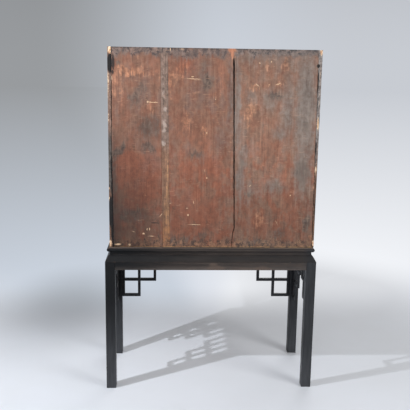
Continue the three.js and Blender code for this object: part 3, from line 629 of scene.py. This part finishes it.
def end_bands(s, colour, flat, height):
    """Grime along the top of the back, and speckle with bare wood along its foot."""
    tongues = s.noise(flat, 34, 6, 0.72, (1, 1, 0.5))
    mottled = s.noise(s.warp(flat, 40, 0.010), 52, 6, 0.84, (1, 1, 0.75))
    patchy = s.noise(flat, 17, 3, 0.6, (1, 1, 0.3))
    top = ragged(s, s.span(height, TOP - GRIME_TALL, TOP - 4 * MM), tongues, 2.8, 0.40, 0.95)
    grime = s.mix(s.span(mottled, 0.41, 0.59), rgb(46, 45, 48), rgb(138, 117, 108))
    grime = s.lay(grime, rgb(92, 84, 83), s.span(patchy, 0.40, 0.60, 0.0, 0.5))
    rim = s.times(s.span(height, TOP - 8 * MM, TOP - 2 * MM), s.span(mottled, 0.58, 0.44))
    foot = ragged(s, s.span(height, FOOT + SPECKLE_TALL, FOOT + 6 * MM), tongues, 3.2, 0.42, 0.95)
    spotted = s.mix(s.span(mottled, 0.42, 0.58), rgb(48, 44, 43), rgb(168, 124, 96))
    spotted = s.lay(spotted, rgb(78, 66, 60), s.span(patchy, 0.54, 0.40, 0.0, 0.5))
    wander = s.times(s.noise(flat, 24, 5, 0.7, (1, 1, 0)), 12 * MM)
    raw = s.span(s.math("ADD", height, wander), FOOT + 10.5 * MM, FOOT + 7.5 * MM)
    raw = s.times(raw, s.span(s.noise(flat, 46, 4, 0.7, (1, 1, 0)), 0.40, 0.54))
    return s.coats(colour, (grime, top, 0.88), (rgb(40, 38, 40), rim, 0.45), (spotted, foot, 0.80),
                   (rgb(214, 166, 116), raw, 0.9))


def wood_textures(s, flat):
    """Noises that every stained piece of the back shares."""
    straight = s.warp(flat, 4, 0.008)
    return SimpleNamespace(
        streak=s.noise(straight, 120, 6, 0.72, (1, 1, 0.05)),
        broad=s.noise(straight, 22, 4, 0.6, (1, 1, 0.35)),
        blotch=s.noise(flat, 8, 6, 0.66, (1, 1, 0.8)),
        cloud=s.noise(s.warp(flat, 30, 0.012), 52, 6, 0.70, (1, 1, 0.8)),
        fine=s.noise(flat, 460, 4, 0.7, (1, 1, 0.05)),
        hue=s.noise(s.warp(flat, 16, 0.03), 26, 4, 0.65, (1, 1, 0.6)))


def hairlines(s, colour, flat, blotch):
    """Fine level scratches, gathered in some areas, and scattered flecks and pits."""
    thin = s.noise(s.warp(flat, 12, 0.02), 420, 2, 0.5, (0.045, 1, 1))
    level = s.times(s.span(thin, 0.63, 0.70), s.span(blotch, 0.44, 0.56))
    flecks = s.span(s.noise(flat, 190, 3, 0.6, (1, 1, 0.6)), 0.67, 0.75)
    pits = s.span(s.noise(flat, 240, 3, 0.6, (1, 1, 0.4)), 0.34, 0.27)
    return s.coats(colour, (rgb(196, 154, 126), level, 0.42), (rgb(208, 164, 128), flecks, 0.50),
                   (rgb(52, 42, 38), pits, 0.6))


def painted_shade_and_tint(s, colour, point):
    """Deeper or paler tone by place, darker toward the foot as painted shade of the light falling off, and
    a cooler tint on the -X side.
    """
    # Painted shade: the zones darken the boards toward their foot and the +X edge, where the light falls
    # off
    lost = s.blend(*[(s.zone(point, *places), amount) for *places, amount in SHADE_AND_TONE_ZONES])
    cool = s.span(s.part(point, 0), *COOL_ACROSS)
    colour = s.mix(cool, colour, COOL_TINT, blend="MULTIPLY")
    return s.mix(1.0, colour, s.minus(FULL_TONE, lost), blend="MULTIPLY")


def finish_back(s, point, colour, wood, nicks):
    """Worn arrises, the inner faces painted near black as shade, gloss and relief of a back board."""
    worn = s.worn(1.6 * MM, s.noise(point, 75, 5, 0.75), 0.46, 0.60)
    colour = s.lay(colour, rgb(170, 120, 86), worn, 0.7)
    # Painted shade: the board's faces deeper than its back face, inside the split and joints, are painted
    # near black
    inner = s.span(s.part(point, 1), BACK_FACE - 2.0 * MM, BACK_FACE - 3.4 * MM)
    colour = s.lay(colour, rgb(16, 12, 10), inner)
    rough = s.span(s.blend((wood.cloud, 0.5), (wood.fine, 0.5)), 0.35, 0.65, 0.48, 0.76)
    relief = s.blend((wood.fine, 0.6), (wood.streak, 0.5), (nicks, -0.6))
    s.surface(colour, rough, s.bump(relief, 0.5, 0.4 * MM), Specular_IOR_Level=0.35)


def board_ground(s, point, wood, tone, patches):
    """Brown, red and grey of a stained board, before its rubs and smudges."""
    colour = s.mix(tone, rgb(104, 73, 59), rgb(152, 111, 91))
    reddish = s.times(s.span(wood.hue, 0.42, 0.58), s.span(s.part(point, 2), 1.25, 0.95, 0.35, 0.85))
    share = s.times(patches(CLEAN_RED, 1.6, 0.05, 1.0), 0.9)
    colour = s.lay(colour, s.mix(tone, rgb(113, 64, 47), rgb(160, 98, 74)), s.most(share, reddish))
    grey = s.mix(tone, rgb(78, 67, 62), rgb(124, 109, 103))
    paler = s.mix(tone, rgb(90, 78, 72), rgb(138, 123, 114))
    grey = s.lay(grey, paler, s.zone(point, (-0.05, -0.10)))
    greyish = s.span(s.blend((wood.blotch, 0.6), (wood.broad, 0.4)), 0.48, 0.60)
    greyish = s.times(greyish, s.span(s.part(point, 2), 0.90, 1.25, 0.22, 0.45))
    share = s.times(patches(GREY_AREAS, 1.9, 0.05, 1.10), 0.92)
    return s.lay(colour, grey, s.most(share, greyish))


def stained_board(s, point, low, high):
    """Stained board: vertical grain, rubbed and smudged, with nicks down to pale wood."""
    flat = s.flat(point)
    wood = wood_textures(s, flat)
    wicked = s.add("CombineXYZ", 0.0, 0.0, s.scaled(wood.streak, 0.12, -0.06))
    loose = s.vector("ADD", s.warp(s.warp(flat, 11, 0.06), 46, 0.028), wicked)
    tight = s.warp(flat, 160, 0.005)
    tone = s.blend((wood.streak, 0.28), (wood.broad, 0.27), (wood.cloud, 0.45))
    tone = s.span(tone, 0.34, 0.66)
    texture = s.blend((wood.cloud, 0.60), (wood.streak, 0.40))
    mottle = s.span(texture, 0.40, 0.60)

    def patches(listed, *edge):
        return ragged(s, marks(s, loose, listed, low, high), texture, *edge)

    def specks(listed, *edge):
        return ragged(s, marks(s, tight, listed, low, high), wood.cloud, *edge)

    colour = board_ground(s, point, wood, tone, patches)
    rubs = marks(s, loose, ORANGE_RUBS, low, high)
    orange = s.mix(mottle, rgb(142, 92, 66), rgb(200, 142, 110))
    orange = s.lay(orange, rgb(208, 146, 110), s.span(rubs, 0.9, 1.5, 0, 0.6))
    smoky = s.mix(mottle, rgb(50, 45, 43), rgb(116, 98, 87))
    colour = s.coats(
        colour,
        (orange, ragged(s, rubs, texture, 2.4, 0.40, 1.15), 0.85),
        (smoky, patches(DARK_SMUDGES, 3.2, 0.30, 1.05), 0.85),
        (rgb(58, 44, 40), s.span(wood.streak, 0.44, 0.32), 0.17),
        (rgb(186, 138, 110), s.span(wood.streak, 0.57, 0.68), 0.16))
    colour = end_bands(s, colour, flat, s.part(point, 2))
    fresh = ragged(s, marks(s, tight, FRESH_WOOD, low, high), texture, 1.6, 0.10, 1.10)
    colour = s.lay(colour, s.mix(wood.streak, rgb(140, 84, 60), rgb(214, 146, 112)), fresh, 0.9)
    colour = painted_shade_and_tint(s, hairlines(s, colour, flat, wood.blotch), point)
    nicks = specks(PALE_NICKS, 1.0, 0.34, 0.80)
    colour = s.coats(colour, (rgb(214, 180, 146), nicks, 0.8),
                     (rgb(24, 21, 21), specks(BLACK_SPOTS, 1.6, 0.35, 0.95), 0.92))
    finish_back(s, point, colour, wood, nicks)


def filled_joint(s, point):
    """Filled joint: chalky grey above, worn to bare tan wood toward the foot."""
    flat = s.flat(point)
    across, height = s.part(point, 0), s.part(point, 2)
    wood = wood_textures(s, flat)
    loose = s.warp(s.warp(flat, 24, 0.030), 80, 0.016)
    tone = s.span(s.blend((wood.streak, 0.45), (wood.cloud, 0.55)), 0.38, 0.62)
    upper = s.mix(tone, rgb(90, 74, 65), rgb(152, 126, 113))
    lower = s.mix(tone, rgb(104, 76, 60), rgb(152, 114, 92))
    turn = s.scaled(wood.cloud, 0.16, height)
    colour = s.lay(upper, lower, s.span(turn, 1.25, 1.16))
    wander = s.scaled(wood.hue, 0.034, across)
    middle = s.times(s.span(wander, 0.242, 0.228), s.span(wander, 0.204, 0.214))
    tan = s.mix(s.span(wood.streak, 0.40, 0.60), rgb(118, 84, 62), rgb(184, 138, 102))
    broken = s.noise(flat, 34, 5, 0.72, (0.5, 1, 1))
    low_down = s.times(s.span(height, 1.15, 0.90, 0.45, 1.0), s.span(broken, 0.34, 0.58))
    crumbs = s.blend((wood.streak, 0.5), (wood.cloud, 0.5))
    bare = ragged(s, s.times(middle, low_down), crumbs, 3.2, 0.40, 1.05)
    colour = s.lay(colour, tan, bare, s.span(turn, 1.24, 1.14))
    foot = s.times(s.span(height, 0.84, 0.70), s.span(wood.cloud, 0.42, 0.58, 0.2, 0.9))
    colour = s.lay(colour, rgb(186, 122, 76), foot, 0.7)
    pale = ragged(s, marks(s, loose, STRIP_PATCHES), wood.cloud, 1.9, 0.35, 1.05)
    colour = s.lay(colour, rgb(192, 176, 166), pale, 0.6)
    colour = end_bands(s, colour, flat, height)
    colour = painted_shade_and_tint(s, hairlines(s, colour, flat, wood.blotch), point)
    finish_back(s, point, colour, wood, pale)


# Mesh helpers

def new_piece(name, bm, material, body, replaced=(), smooth=40):
    """Turns a mesh in the part's frame into a piece that rides on a body, smooth up to an angle."""
    mesh = bpy.data.meshes.new(name)
    bmesh.ops.recalc_face_normals(bm, faces=bm.faces)
    bm.to_mesh(mesh)
    bm.free()
    mesh.materials.append(material)
    for face in mesh.polygons:
        face.use_smooth = True
    mesh.set_sharp_from_angle(angle=math.radians(smooth))
    piece = placed(name, mesh)
    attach(piece, body)
    if replaced:
        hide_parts(*replaced)


def bridge(bm, near, far):
    """Faces between two closed rings, either of which may be a single point."""
    count = max(len(near), len(far))
    for i in range(count):
        j = (i + 1) % count
        if len(near) == 1:
            corners = (near[0], far[j], far[i])
        elif len(far) == 1:
            corners = (near[i], near[j], far[0])
        else:
            corners = (near[i], near[j], far[j], far[i])
        bm.faces.new(corners)


def lathe(bm, profile, centre, axis, steps):
    """Turns a profile of (radius, distance along the axis) pairs round the axis."""
    ahead = Vector(axis).normalized()
    side = ahead.orthogonal().normalized()
    other = ahead.cross(side)
    turns = [math.tau * i / steps for i in range(steps)]
    rings = []
    for radius, along in profile:
        middle = Vector(centre) + ahead * along
        spokes = [side * math.cos(turn) + other * math.sin(turn) for turn in turns] if radius else [side]
        rings.append([bm.verts.new(middle + radius * spoke) for spoke in spokes])
    for near, far in zip(rings, rings[1:]):
        bridge(bm, near, far)


def soft_block(bm, low, high, ease):
    """A block with eased arrises, from its lowest to its highest corner."""
    corners = bmesh.ops.create_cube(bm, size=1)["verts"]
    for corner in corners:
        corner.co = Vector(high[i] if corner.co[i] > 0 else low[i] for i in range(3))
    rims = list({edge for corner in corners for edge in corner.link_edges})
    bmesh.ops.bevel(bm, geom=rims, offset=ease, segments=2, affect="EDGES")


def along_line(line, place):
    """Value at a place on a line of (place, value) points."""
    for (start, first), (end, last) in zip(line, line[1:]):
        if place <= end + 1e-9:
            return first + (last - first) * (place - start) / (end - start)
    return line[-1][1]


# Back boards: distances in from an edge, how far the face has fallen there, and other small sizes
EDGE_STEPS = (0.0, 0.0005, 0.0013, 0.003)
EDGE_DROPS = (0.0009, 0.0003, 0.0001, 0.0)
ROW_STEP = 4 * MM
COLUMN_STEP = 6 * MM
CUP_DEPTH = 0.6 * MM
DENT_DEPTH = 0.35 * MM
DENTS_ACROSS = 16
DENTS_UP = 5
EDGE_WAVE = 3 * MM
CHIPS_PER_EDGE = 16
CHIP_REACH = (0.003, 0.012)
CHIP_DEPTH = (0.0004, 0.0018)
HIGH_WAVE_SEED = 2
HIGH_CHIP_SEED = 50

# Waves of an edge: how many in a metre and their share of its unevenness
EDGE_WAVES = ((28, 0.5), (110, 0.35))
SEED_STEP = Vector((0, 7.31, 1.7))

# Half width of the open split in millimetres at some heights
SPLIT_HALF = ((FOOT, 0.9), (0.735, 1.1), (0.765, 2.1), (1.20, 2.6), (1.40, 3.0), (1.49, 3.6), (1.504, 2.8),
              (1.513, 0.15), (TOP, 0.15))

# How far the joint beside the left side's lip stands open, in millimetres at some heights
LIP_GAP = ((FOOT, 0.4), (0.70, 1.3), (0.90, 1.4), (0.95, 0.2), (1.05, 0.3), (1.09, 1.5), (1.13, 0.5),
           (1.20, 0.8), (1.26, 0.3), (1.34, 0.8), (1.38, 1.5), (1.45, 1.4), (1.47, 0.1), (TOP, 0.0))


def edge_lines(node):
    """The lower-x and higher-x outlines of a back board, as lists of (height, across)."""
    corners = {(round(v.co.x, 5), round(v.co.z, 5)) for v in NODES[node].data.vertices}
    middle = (max(c[0] for c in corners) + min(c[0] for c in corners)) / 2
    low = sorted((z, x) for x, z in corners if x < middle)
    high = sorted((z, x) for x, z in corners if x >= middle)
    return low, high


def split_shift(height):
    """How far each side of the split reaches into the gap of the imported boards."""
    packed = along_line(edge_lines("back_board_middle")[0], height)
    packed = (packed - along_line(edge_lines("back_board_left")[1], height)) / 2
    return packed - along_line(SPLIT_HALF, height) * MM


def lip_shift(height):
    return -along_line(LIP_GAP, height) * MM


def as_packed(height):
    return 0.0


def edge_wave(place, seed):
    """Smooth unevenness along an edge, coarse and fine together."""
    waves = [share * noise.noise(Vector((place * rate, 0, 0)) + SEED_STEP * (seed + i))
             for i, (rate, share) in enumerate(EDGE_WAVES)]
    return EDGE_WAVE * sum(waves)


def chip_depth(place, seed):
    """Small bites out of an edge, at places that the seed decides."""
    bite = 0.0
    chooser = random.Random(seed)
    for _ in range(CHIPS_PER_EDGE):
        middle = chooser.uniform(FOOT, TOP)
        reach = chooser.uniform(*CHIP_REACH)
        depth = chooser.uniform(*CHIP_DEPTH)
        gap = abs(place - middle) / reach
        if gap < 1:
            bite = max(bite, depth * (1 - gap * gap))
    return bite


def spread_rows(tall):
    """Places up a board, closest together near its two ends."""
    end = EDGE_STEPS[-1]
    rows = [end + ROW_STEP * (i + 1) for i in range(int((tall - 2 * end) / ROW_STEP))]
    rows = [row for row in rows if row < tall - end - MM]
    return [*EDGE_STEPS, *rows, *[tall - step for step in reversed(EDGE_STEPS)]]


def board_row(x0, x1, z, fall, seed, count):
    """Points of one row of a board's face, cupped and dented, with both edges eased."""
    across = [x0 + step for step in EDGE_STEPS]
    inner0, inner1 = across[-1], x1 - EDGE_STEPS[-1]
    across += [inner0 + (inner1 - inner0) * (i + 1) / count for i in range(count - 1)]
    across += [x1 - step for step in reversed(EDGE_STEPS)]
    drops = [*EDGE_DROPS, *[0.0] * (count - 1), *reversed(EDGE_DROPS)]
    row = []
    for x, drop in zip(across, drops):
        share = (x - x0) / (x1 - x0) * 2 - 1
        cup = CUP_DEPTH * (1 - share * share) * math.sin(math.pi * (z - FOOT) / (TOP - FOOT))
        dent = abs(DENT_DEPTH * noise.noise(Vector((x * DENTS_ACROSS, seed, z * DENTS_UP))))
        row.append((x, BACK_FACE - max(drop, fall) - cup - dent, z))
    return row


def back_board(node, seed, rough_low, rough_high, material,
               low_shift=as_packed, high_shift=as_packed):
    """A board with ragged edges, eased arrises and a slight cup across its width."""
    low, high = edge_lines(node)
    tall = TOP - FOOT
    count = max(4, int((along_line(high, FOOT) - along_line(low, FOOT)) / COLUMN_STEP))
    bm = bmesh.new()
    grid = []
    for rise in spread_rows(tall):
        z = FOOT + rise
        end = min(rise, tall - rise)
        fall = next((drop for step, drop in zip(EDGE_STEPS, EDGE_DROPS) if end <= step + 1e-9), 0.0)
        x0 = along_line(low, z) + rough_low * (edge_wave(z, seed) + chip_depth(z, seed)) - low_shift(z)
        wave = edge_wave(z, seed + HIGH_WAVE_SEED) - chip_depth(z, seed + HIGH_CHIP_SEED)
        x1 = along_line(high, z) + rough_high * wave + high_shift(z)
        row = board_row(x0, x1, z, fall, seed, count)
        grid.append([bm.verts.new(place) for place in row])
    for upper, lower in zip(grid[1:], grid):
        for i in range(len(lower) - 1):
            bm.faces.new((lower[i], lower[i + 1], upper[i + 1], upper[i]))
    ring = grid[0][:] + [line[-1] for line in grid[1:]]
    ring += grid[-1][-2::-1] + [line[0] for line in grid[-2:0:-1]]
    inside = [bm.verts.new((v.co.x, BACK_INSIDE, v.co.z)) for v in ring]
    bridge(bm, ring, inside)
    bm.faces.new(inside[::-1])
    new_piece(node + "_worn", bm, material, "cabinet", (node,), smooth=50)


# Pieces inside the body

INSIDE_GAP = 0.6 * MM
BEHIND = BACK_INSIDE - 0.2 * MM
LINING_FRONT = BEHIND - 2.1 * MM
LINING_BACK = BEHIND - 0.9 * MM
LINING_EASE = 0.3 * MM
CLOTH_HALF = 34 * MM
CLOTH_THICKNESS = 0.7 * MM
CLOTH_EASE = 0.15 * MM

# The spaces where near-black cloth behind the split stands in for shade: name, the board below and the
# board above
SPACES = (("low", "bottom_board", "shelf_lower"), ("middle", "shelf_lower", "shelf_middle"),
          ("high", "shelf_middle", "shelf_upper"), ("top", "shelf_upper", "top_board"))


def add_lining(red, cloth):
    """A lacquered panel behind the shelf's space, and near-black cloth over the split in every space,
    standing in for shade.
    """
    bm = bmesh.new()
    soft_block(bm, (-SIDE_INNER + INSIDE_GAP, LINING_FRONT, SHELF_TOP + INSIDE_GAP),
               (SIDE_INNER - INSIDE_GAP, LINING_BACK, CEILING - INSIDE_GAP), LINING_EASE)
    new_piece("compartment_lining", bm, red, "cabinet")
    split = (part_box("back_board_middle")[0].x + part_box("back_board_left")[1].x) / 2
    for label, below, above in SPACES:
        bm = bmesh.new()
        soft_block(bm, (split - CLOTH_HALF, BEHIND - CLOTH_THICKNESS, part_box(below)[1].z + INSIDE_GAP),
                   (split + CLOTH_HALF, BEHIND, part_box(above)[0].z - INSIDE_GAP), CLOTH_EASE)
        new_piece("split_shade_cloth_" + label, bm, cloth, "cabinet")


# Brass: profiles of (radius, distance out) in millimetres, and the steps that each is turned in
KNOB_PROFILE = ((0, 0), (9, 0), (9, 0.7), (8.6, 1.3), (7.6, 1.6), (6.4, 1.7), (5.2, 2.2), (4.2, 3.2),
                (3.6, 4.6), (3.4, 6.0), (3.7, 7.2), (4.6, 8.0), (5.3, 8.2), (5.5, 8.7), (5.2, 9.2),
                (4.6, 9.4), (5.0, 9.9), (6.4, 10.6), (7.5, 11.8), (8.0, 13.2), (7.9, 14.8),
                (7.2, 16.4), (6.0, 17.7), (4.4, 18.7), (3.4, 19.1), (3.2, 19.5), (2.6, 19.9),
                (1.4, 20.0), (0, 20.0))
KNOB_STEPS = 40
SCREW_PROFILE = ((0, 0), (3, 0), (2.88, 0.25), (2.4, 0.425), (1.5, 0.5), (0.72, 0.5), (0, 0.5))
SCREW_STEPS = 20
STUD_PROFILE = ((0, 0), (1.2, 0), (1, 0.25), (0.5, 0.36), (0, 0.38))
STUD_STEPS = 12

# Lock plate: rings of (share of the way to the rim, how lobed, height in millimetres)
PLATE_RINGS = ((0.0, 0.0, 0.9), (0.06, 0.0, 1.15), (0.16, 0.0, 1.15), (0.20, 0.0, 0.85),
               (0.24, 0.0, 0.85), (0.28, 0.0, 1.2), (0.60, 0.0, 1.2), (0.63, 0.0, 0.95),
               (0.66, 0.0, 0.95), (0.69, 0.0, 1.2), (0.80, 0.5, 1.2), (0.83, 0.6, 0.95),
               (0.86, 0.7, 1.2), (0.97, 1.0, 1.2), (1.0, 1.0, 0.8))
PLATE_STEPS = 192
PLATE_LOBES = 12
LOBE_SHARE = 0.045
STUD_RING_SHARE = 0.755
STUD_FOOT = 1.1 * MM
KEYHOLE_RADIUS = 2.7 * MM
KEYHOLE_SLOT_HALF = 1.3 * MM
KEYHOLE_FOOT = 9.0 * MM

# Screws of the hinge leaves: distances from the leaf's rear edge and ends, and the leaf's thickness
SCREW_NEAR = 12 * MM
SCREW_FAR = 36 * MM
SCREW_END = 14 * MM
LEAF_THICKNESS = 1.8 * MM


def turned(bm, profile, centre, axis, steps):
    lathe(bm, [(radius * MM, along * MM) for radius, along in profile], centre, axis, steps)


def add_knobs(brass):
    for name in [n for n in NODES if n.startswith("knob")]:
        low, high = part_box(name)
        root = ((low.x + high.x) / 2, high.y, (low.z + high.z) / 2)
        bm = bmesh.new()
        turned(bm, KNOB_PROFILE, root, (0, -1, 0), KNOB_STEPS)
        body = NODES[name]["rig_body"]
        new_piece(name + "_turned", bm, brass, body, (name,), smooth=50)


def keyhole_reach(turn):
    """Distance from the keyhole's centre to its rim, with the slot pointing down."""
    down, sideways = -math.sin(turn), abs(math.cos(turn))
    if down <= 0:
        return KEYHOLE_RADIUS
    return max(KEYHOLE_RADIUS, min(KEYHOLE_FOOT / down, KEYHOLE_SLOT_HALF / max(sideways, 1e-6)))


def add_lock_plate(brass):
    """Round escutcheon with a lobed rim, turned rings, studs and the keyhole through it."""
    low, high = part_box("lock_plate")
    radius = (high.z - low.z) / 2
    middle = Vector((low.x, (low.y + high.y) / 2, (low.z + high.z) / 2))

    def at(reach, turn, level):
        return middle + Vector((level, reach * math.cos(turn), reach * math.sin(turn)))

    bm = bmesh.new()
    rings = []
    for share, lobed, level in PLATE_RINGS:
        ring = []
        for i in range(PLATE_STEPS):
            turn = math.tau * i / PLATE_STEPS
            lobes = 1 - LOBE_SHARE * lobed * (1 - abs(math.cos(PLATE_LOBES / 2 * turn)))
            inner = keyhole_reach(turn)
            ring.append(bm.verts.new(at(inner + (radius * lobes - inner) * share, turn, level * MM)))
        rings.append(ring)
    under = [[bm.verts.new((low.x, v.co.y, v.co.z)) for v in ring] for ring in (rings[0], rings[-1])]
    rings = [under[0], *rings, under[1]]
    for near, far in zip(rings, rings[1:] + rings[:1]):
        bridge(bm, near, far)
    for i in range(PLATE_LOBES):
        turn = math.tau * (i + 0.5) / PLATE_LOBES
        turned(bm, STUD_PROFILE, at(STUD_RING_SHARE * radius, turn, STUD_FOOT), (1, 0, 0), STUD_STEPS)
    new_piece("lock_plate_lobed", bm, brass, "right_door", ("lock_plate",), smooth=35)


def add_hinge_screws(brass):
    """Heads of three screws through each leaf on the cabinet's sides."""
    for (side, sign), level in product((("right", 1), ("left", -1)), ("lower", "upper")):
        low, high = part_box(f"hinge_{side}_{level}_case_leaf")
        face = sign * (abs(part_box("side_" + side)[1 if sign > 0 else 0].x) + LEAF_THICKNESS)
        bm = bmesh.new()
        for y, z in ((high.y - SCREW_NEAR, low.z + SCREW_END), (high.y - SCREW_NEAR, high.z - SCREW_END),
                     (high.y - SCREW_FAR, (low.z + high.z) / 2)):
            turned(bm, SCREW_PROFILE, (face, y, z), (sign, 0, 0), SCREW_STEPS)
        new_piece(f"screws_{side}_{level}", bm, brass, "cabinet")


# Gilding

GILT_HEIGHT = 0.22 * MM
BORDER_WIDTH = 2.4 * MM
LINE_WIDTH = 0.9 * MM
LINE_STEP = 5 * MM
LATTICE_PITCH = 15 * MM
LATTICE_LINES = 3
LATTICE_HEIGHTS = (0.8 * GILT_HEIGHT, 0.72 * GILT_HEIGHT)
BAR_EASE = 0.3 * MM
BAR_EASE_SHARE = 0.25
DOOR_INSET = 22 * MM
DOOR_INNER_INSET = 62 * MM
SIDE_INSET = 14 * MM
DRAWER_INSET = 10 * MM
DOOR_THICKNESS = 20 * MM
DOOR_LAP = 9.5 * MM


class Plane:
    """Places flat ornament on a face: across and up in the face, and out from it."""

    def __init__(self, origin, across, out, wide, tall):
        self.origin, self.across, self.out = Vector(origin), Vector(across), Vector(out)
        self.wide, self.tall = wide, tall

    def at(self, u, v, w=0.0):
        return self.origin + self.across * u + Vector((0, 0, v)) + self.out * w


def flat_bar(bm, plane, u, v, height):
    """A thin raised bar over the ranges u and v of a face, its upper edges drawn in."""
    lip = min(BAR_EASE_SHARE * (u[1] - u[0]), BAR_EASE_SHARE * (v[1] - v[0]), BAR_EASE)
    rings = []
    for drawn, level in ((0.0, 0.0), (lip, height)):
        near_u, far_u, near_v, far_v = u[0] + drawn, u[1] - drawn, v[0] + drawn, v[1] - drawn
        corners = ((near_u, near_v), (far_u, near_v), (far_u, far_v), (near_u, far_v))
        rings.append([bm.verts.new(plane.at(a, b, level)) for a, b in corners])
    foot, head = rings
    bm.faces.new(foot[::-1])
    bm.faces.new(head)
    bridge(bm, foot, head)


def flat_frame(bm, plane, inset, width):
    """Four raised bars round a face, inset from its edges."""
    a, b, wide, tall = inset, inset + width, plane.wide, plane.tall
    for u, v in (((a, wide - a), (a, b)), ((a, wide - a), (tall - b, tall - a)),
                 ((a, b), (b, tall - b)), ((wide - b, wide - a), (b, tall - b))):
        flat_bar(bm, plane, u, v, GILT_HEIGHT)


def stepped_corners(bm, plane, inset):
    """In each corner, the stepped lattice of the stand's brackets, drawn small."""
    for far_u, far_v, line in product((False, True), (False, True), range(LATTICE_LINES)):
        place = inset + (line + 1) * LATTICE_PITCH
        short = (place, place + LINE_WIDTH)
        long = (inset, inset + (LATTICE_LINES - line) * LATTICE_PITCH + LINE_WIDTH)
        for u, v, height in zip((long, short), (short, long), LATTICE_HEIGHTS):
            u = sorted(plane.wide - x for x in u) if far_u else u
            v = sorted(plane.tall - x for x in v) if far_v else v
            flat_bar(bm, plane, u, v, height)


def gild(name, gilt, body, plane, inset, corners=False):
    bm = bmesh.new()
    flat_frame(bm, plane, inset, BORDER_WIDTH)
    flat_frame(bm, plane, inset + LINE_STEP, LINE_WIDTH)
    if corners:
        stepped_corners(bm, plane, inset + LINE_STEP)
    new_piece(name, bm, gilt, body)


def side_plane(node, sign, sunk=0.0, lap=0.0):
    """The outer face of a node at one side of the cabinet, or the inner one sunk below it."""
    low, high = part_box(node)
    outer = high.x if sign > 0 else low.x
    out = (-sign if sunk else sign, 0, 0)
    origin = (outer - sign * sunk, low.y + lap, low.z)
    return Plane(origin, (0, 1, 0), out, high.y - low.y - lap, high.z - low.z)


def add_gilding(gilt):
    """Gilt borders on both faces of the doors, on the cabinet's sides and on the drawers."""
    for side, sign in (("right", 1), ("left", -1)):
        door, body = "door_" + side, side + "_door"
        inner = side_plane(door, sign, DOOR_THICKNESS, DOOR_LAP)
        gild(f"gilding_{door}_outside", gilt, body, side_plane(door, sign), DOOR_INSET, corners=True)
        gild(f"gilding_{door}_inside", gilt, body, inner, DOOR_INNER_INSET, corners=True)
        gild(f"gilding_side_{side}", gilt, "cabinet", side_plane("side_" + side, sign), SIDE_INSET)
    for name in [n for n in NODES if n.startswith("drawer")]:
        low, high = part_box(name)
        plane = Plane(low, (1, 0, 0), (0, -1, 0), high.x - low.x, high.z - low.z)
        gild("gilding_" + name, gilt, NODES[name]["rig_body"], plane, DRAWER_INSET)


SHARP_ANGLE = math.radians(40)
WELD_REACH = 0.01 * MM


def dress(node, material, bevel):
    """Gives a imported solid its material, rounded arrises and smooth shading."""
    item = NODES[node]
    item.data.materials.clear()
    item.data.materials.append(material)
    for face in item.data.polygons:
        face.use_smooth = True
        face.material_index = 0
    weld = item.modifiers.new("weld", "WELD")
    weld.merge_threshold = WELD_REACH
    round_off = item.modifiers.new("bevel", "BEVEL")
    round_off.width = bevel
    round_off.segments = 2
    round_off.limit_method = "ANGLE"
    round_off.angle_limit = SHARP_ANGLE
    round_off.use_clamp_overlap = True
    even = item.modifiers.new("normals", "WEIGHTED_NORMAL")
    even.keep_sharp = False
    even.weight = 80


# Building and dressing

BLACK = ((0.021, 0.016, 0.013, 1), (0.010, 0.008, 0.007, 1), rgb(92, 48, 32))
RED = ((0.21, 0.026, 0.015, 1), (0.12, 0.013, 0.008, 1), rgb(60, 30, 20))
BLACK_LACQUER = made("black_lacquer", lacquer, *BLACK)
SIDE_LACQUER = made("side_lacquer", lacquer, *BLACK, carcase=True)
RED_LACQUER = made("red_lacquer", lacquer, *RED)
RED_SHELVES = made("red_shelves", lacquer, *RED, dark_rear=True)
BRASS = made("aged_brass", aged_brass)
DRAWER = made("drawer_wood_and_lacquer", drawer_wood)
EBONISED = {axis: made("ebonised_" + axis, ebonised, axis) for axis in "xyz"}
RUBBED = made("ebonised_rubbed", ebonised, "x", rubbed=True)

back_board("back_board_right", 3, 0.35, 0.6, made("boards_right", stained_board, 220, 460))
back_board("back_joint_strip", 11, 0.15, 0.15, made("joint_strip", filled_joint))
back_board("back_board_middle", 23, 0.6, 0.2, made("boards_middle", stained_board, -110, 200),
           low_shift=split_shift)
back_board("back_board_left", 31, 0.4, 0.6, made("boards_left", stained_board, -460, -70),
           low_shift=lip_shift, high_shift=split_shift)
# The near-black cloth behind the split is a dark sheet standing in for shade
add_lining(RED_LACQUER, made("shade_cloth", coarse_shade_cloth))
add_knobs(BRASS)
add_lock_plate(BRASS)
add_hinge_screws(BRASS)
add_gilding(made("gilt", rubbed_gilt))

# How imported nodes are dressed: starts of names, material and width of the rounded arrises
LOOKS = (
    (("leg", "fret"), EBONISED["z"], 0.9 * MM),
    (("rail_back", "moulding_back"), RUBBED, 0.8 * MM),
    (("rail_front", "moulding_front"), EBONISED["x"], 0.8 * MM),
    (("rail", "moulding"), EBONISED["y"], 0.8 * MM),
    (("side", "top_board"), SIDE_LACQUER, 1.2 * MM),
    (("door_left", "door_right"), BLACK_LACQUER, 1.0 * MM),
    (("shelf", "divider", "bottom_board"), RED_SHELVES, 0.8 * MM),
    (("drawer",), DRAWER, 0.8 * MM),
    (("knob", "hinge", "lock", "door_bolt"), BRASS, 0.3 * MM),
)
for name in NODES:
    for starts, material, bevel in LOOKS:
        if name.startswith(starts):
            dress(name, material, bevel)
            break

bpy.context.scene.view_settings.view_transform = "Standard"
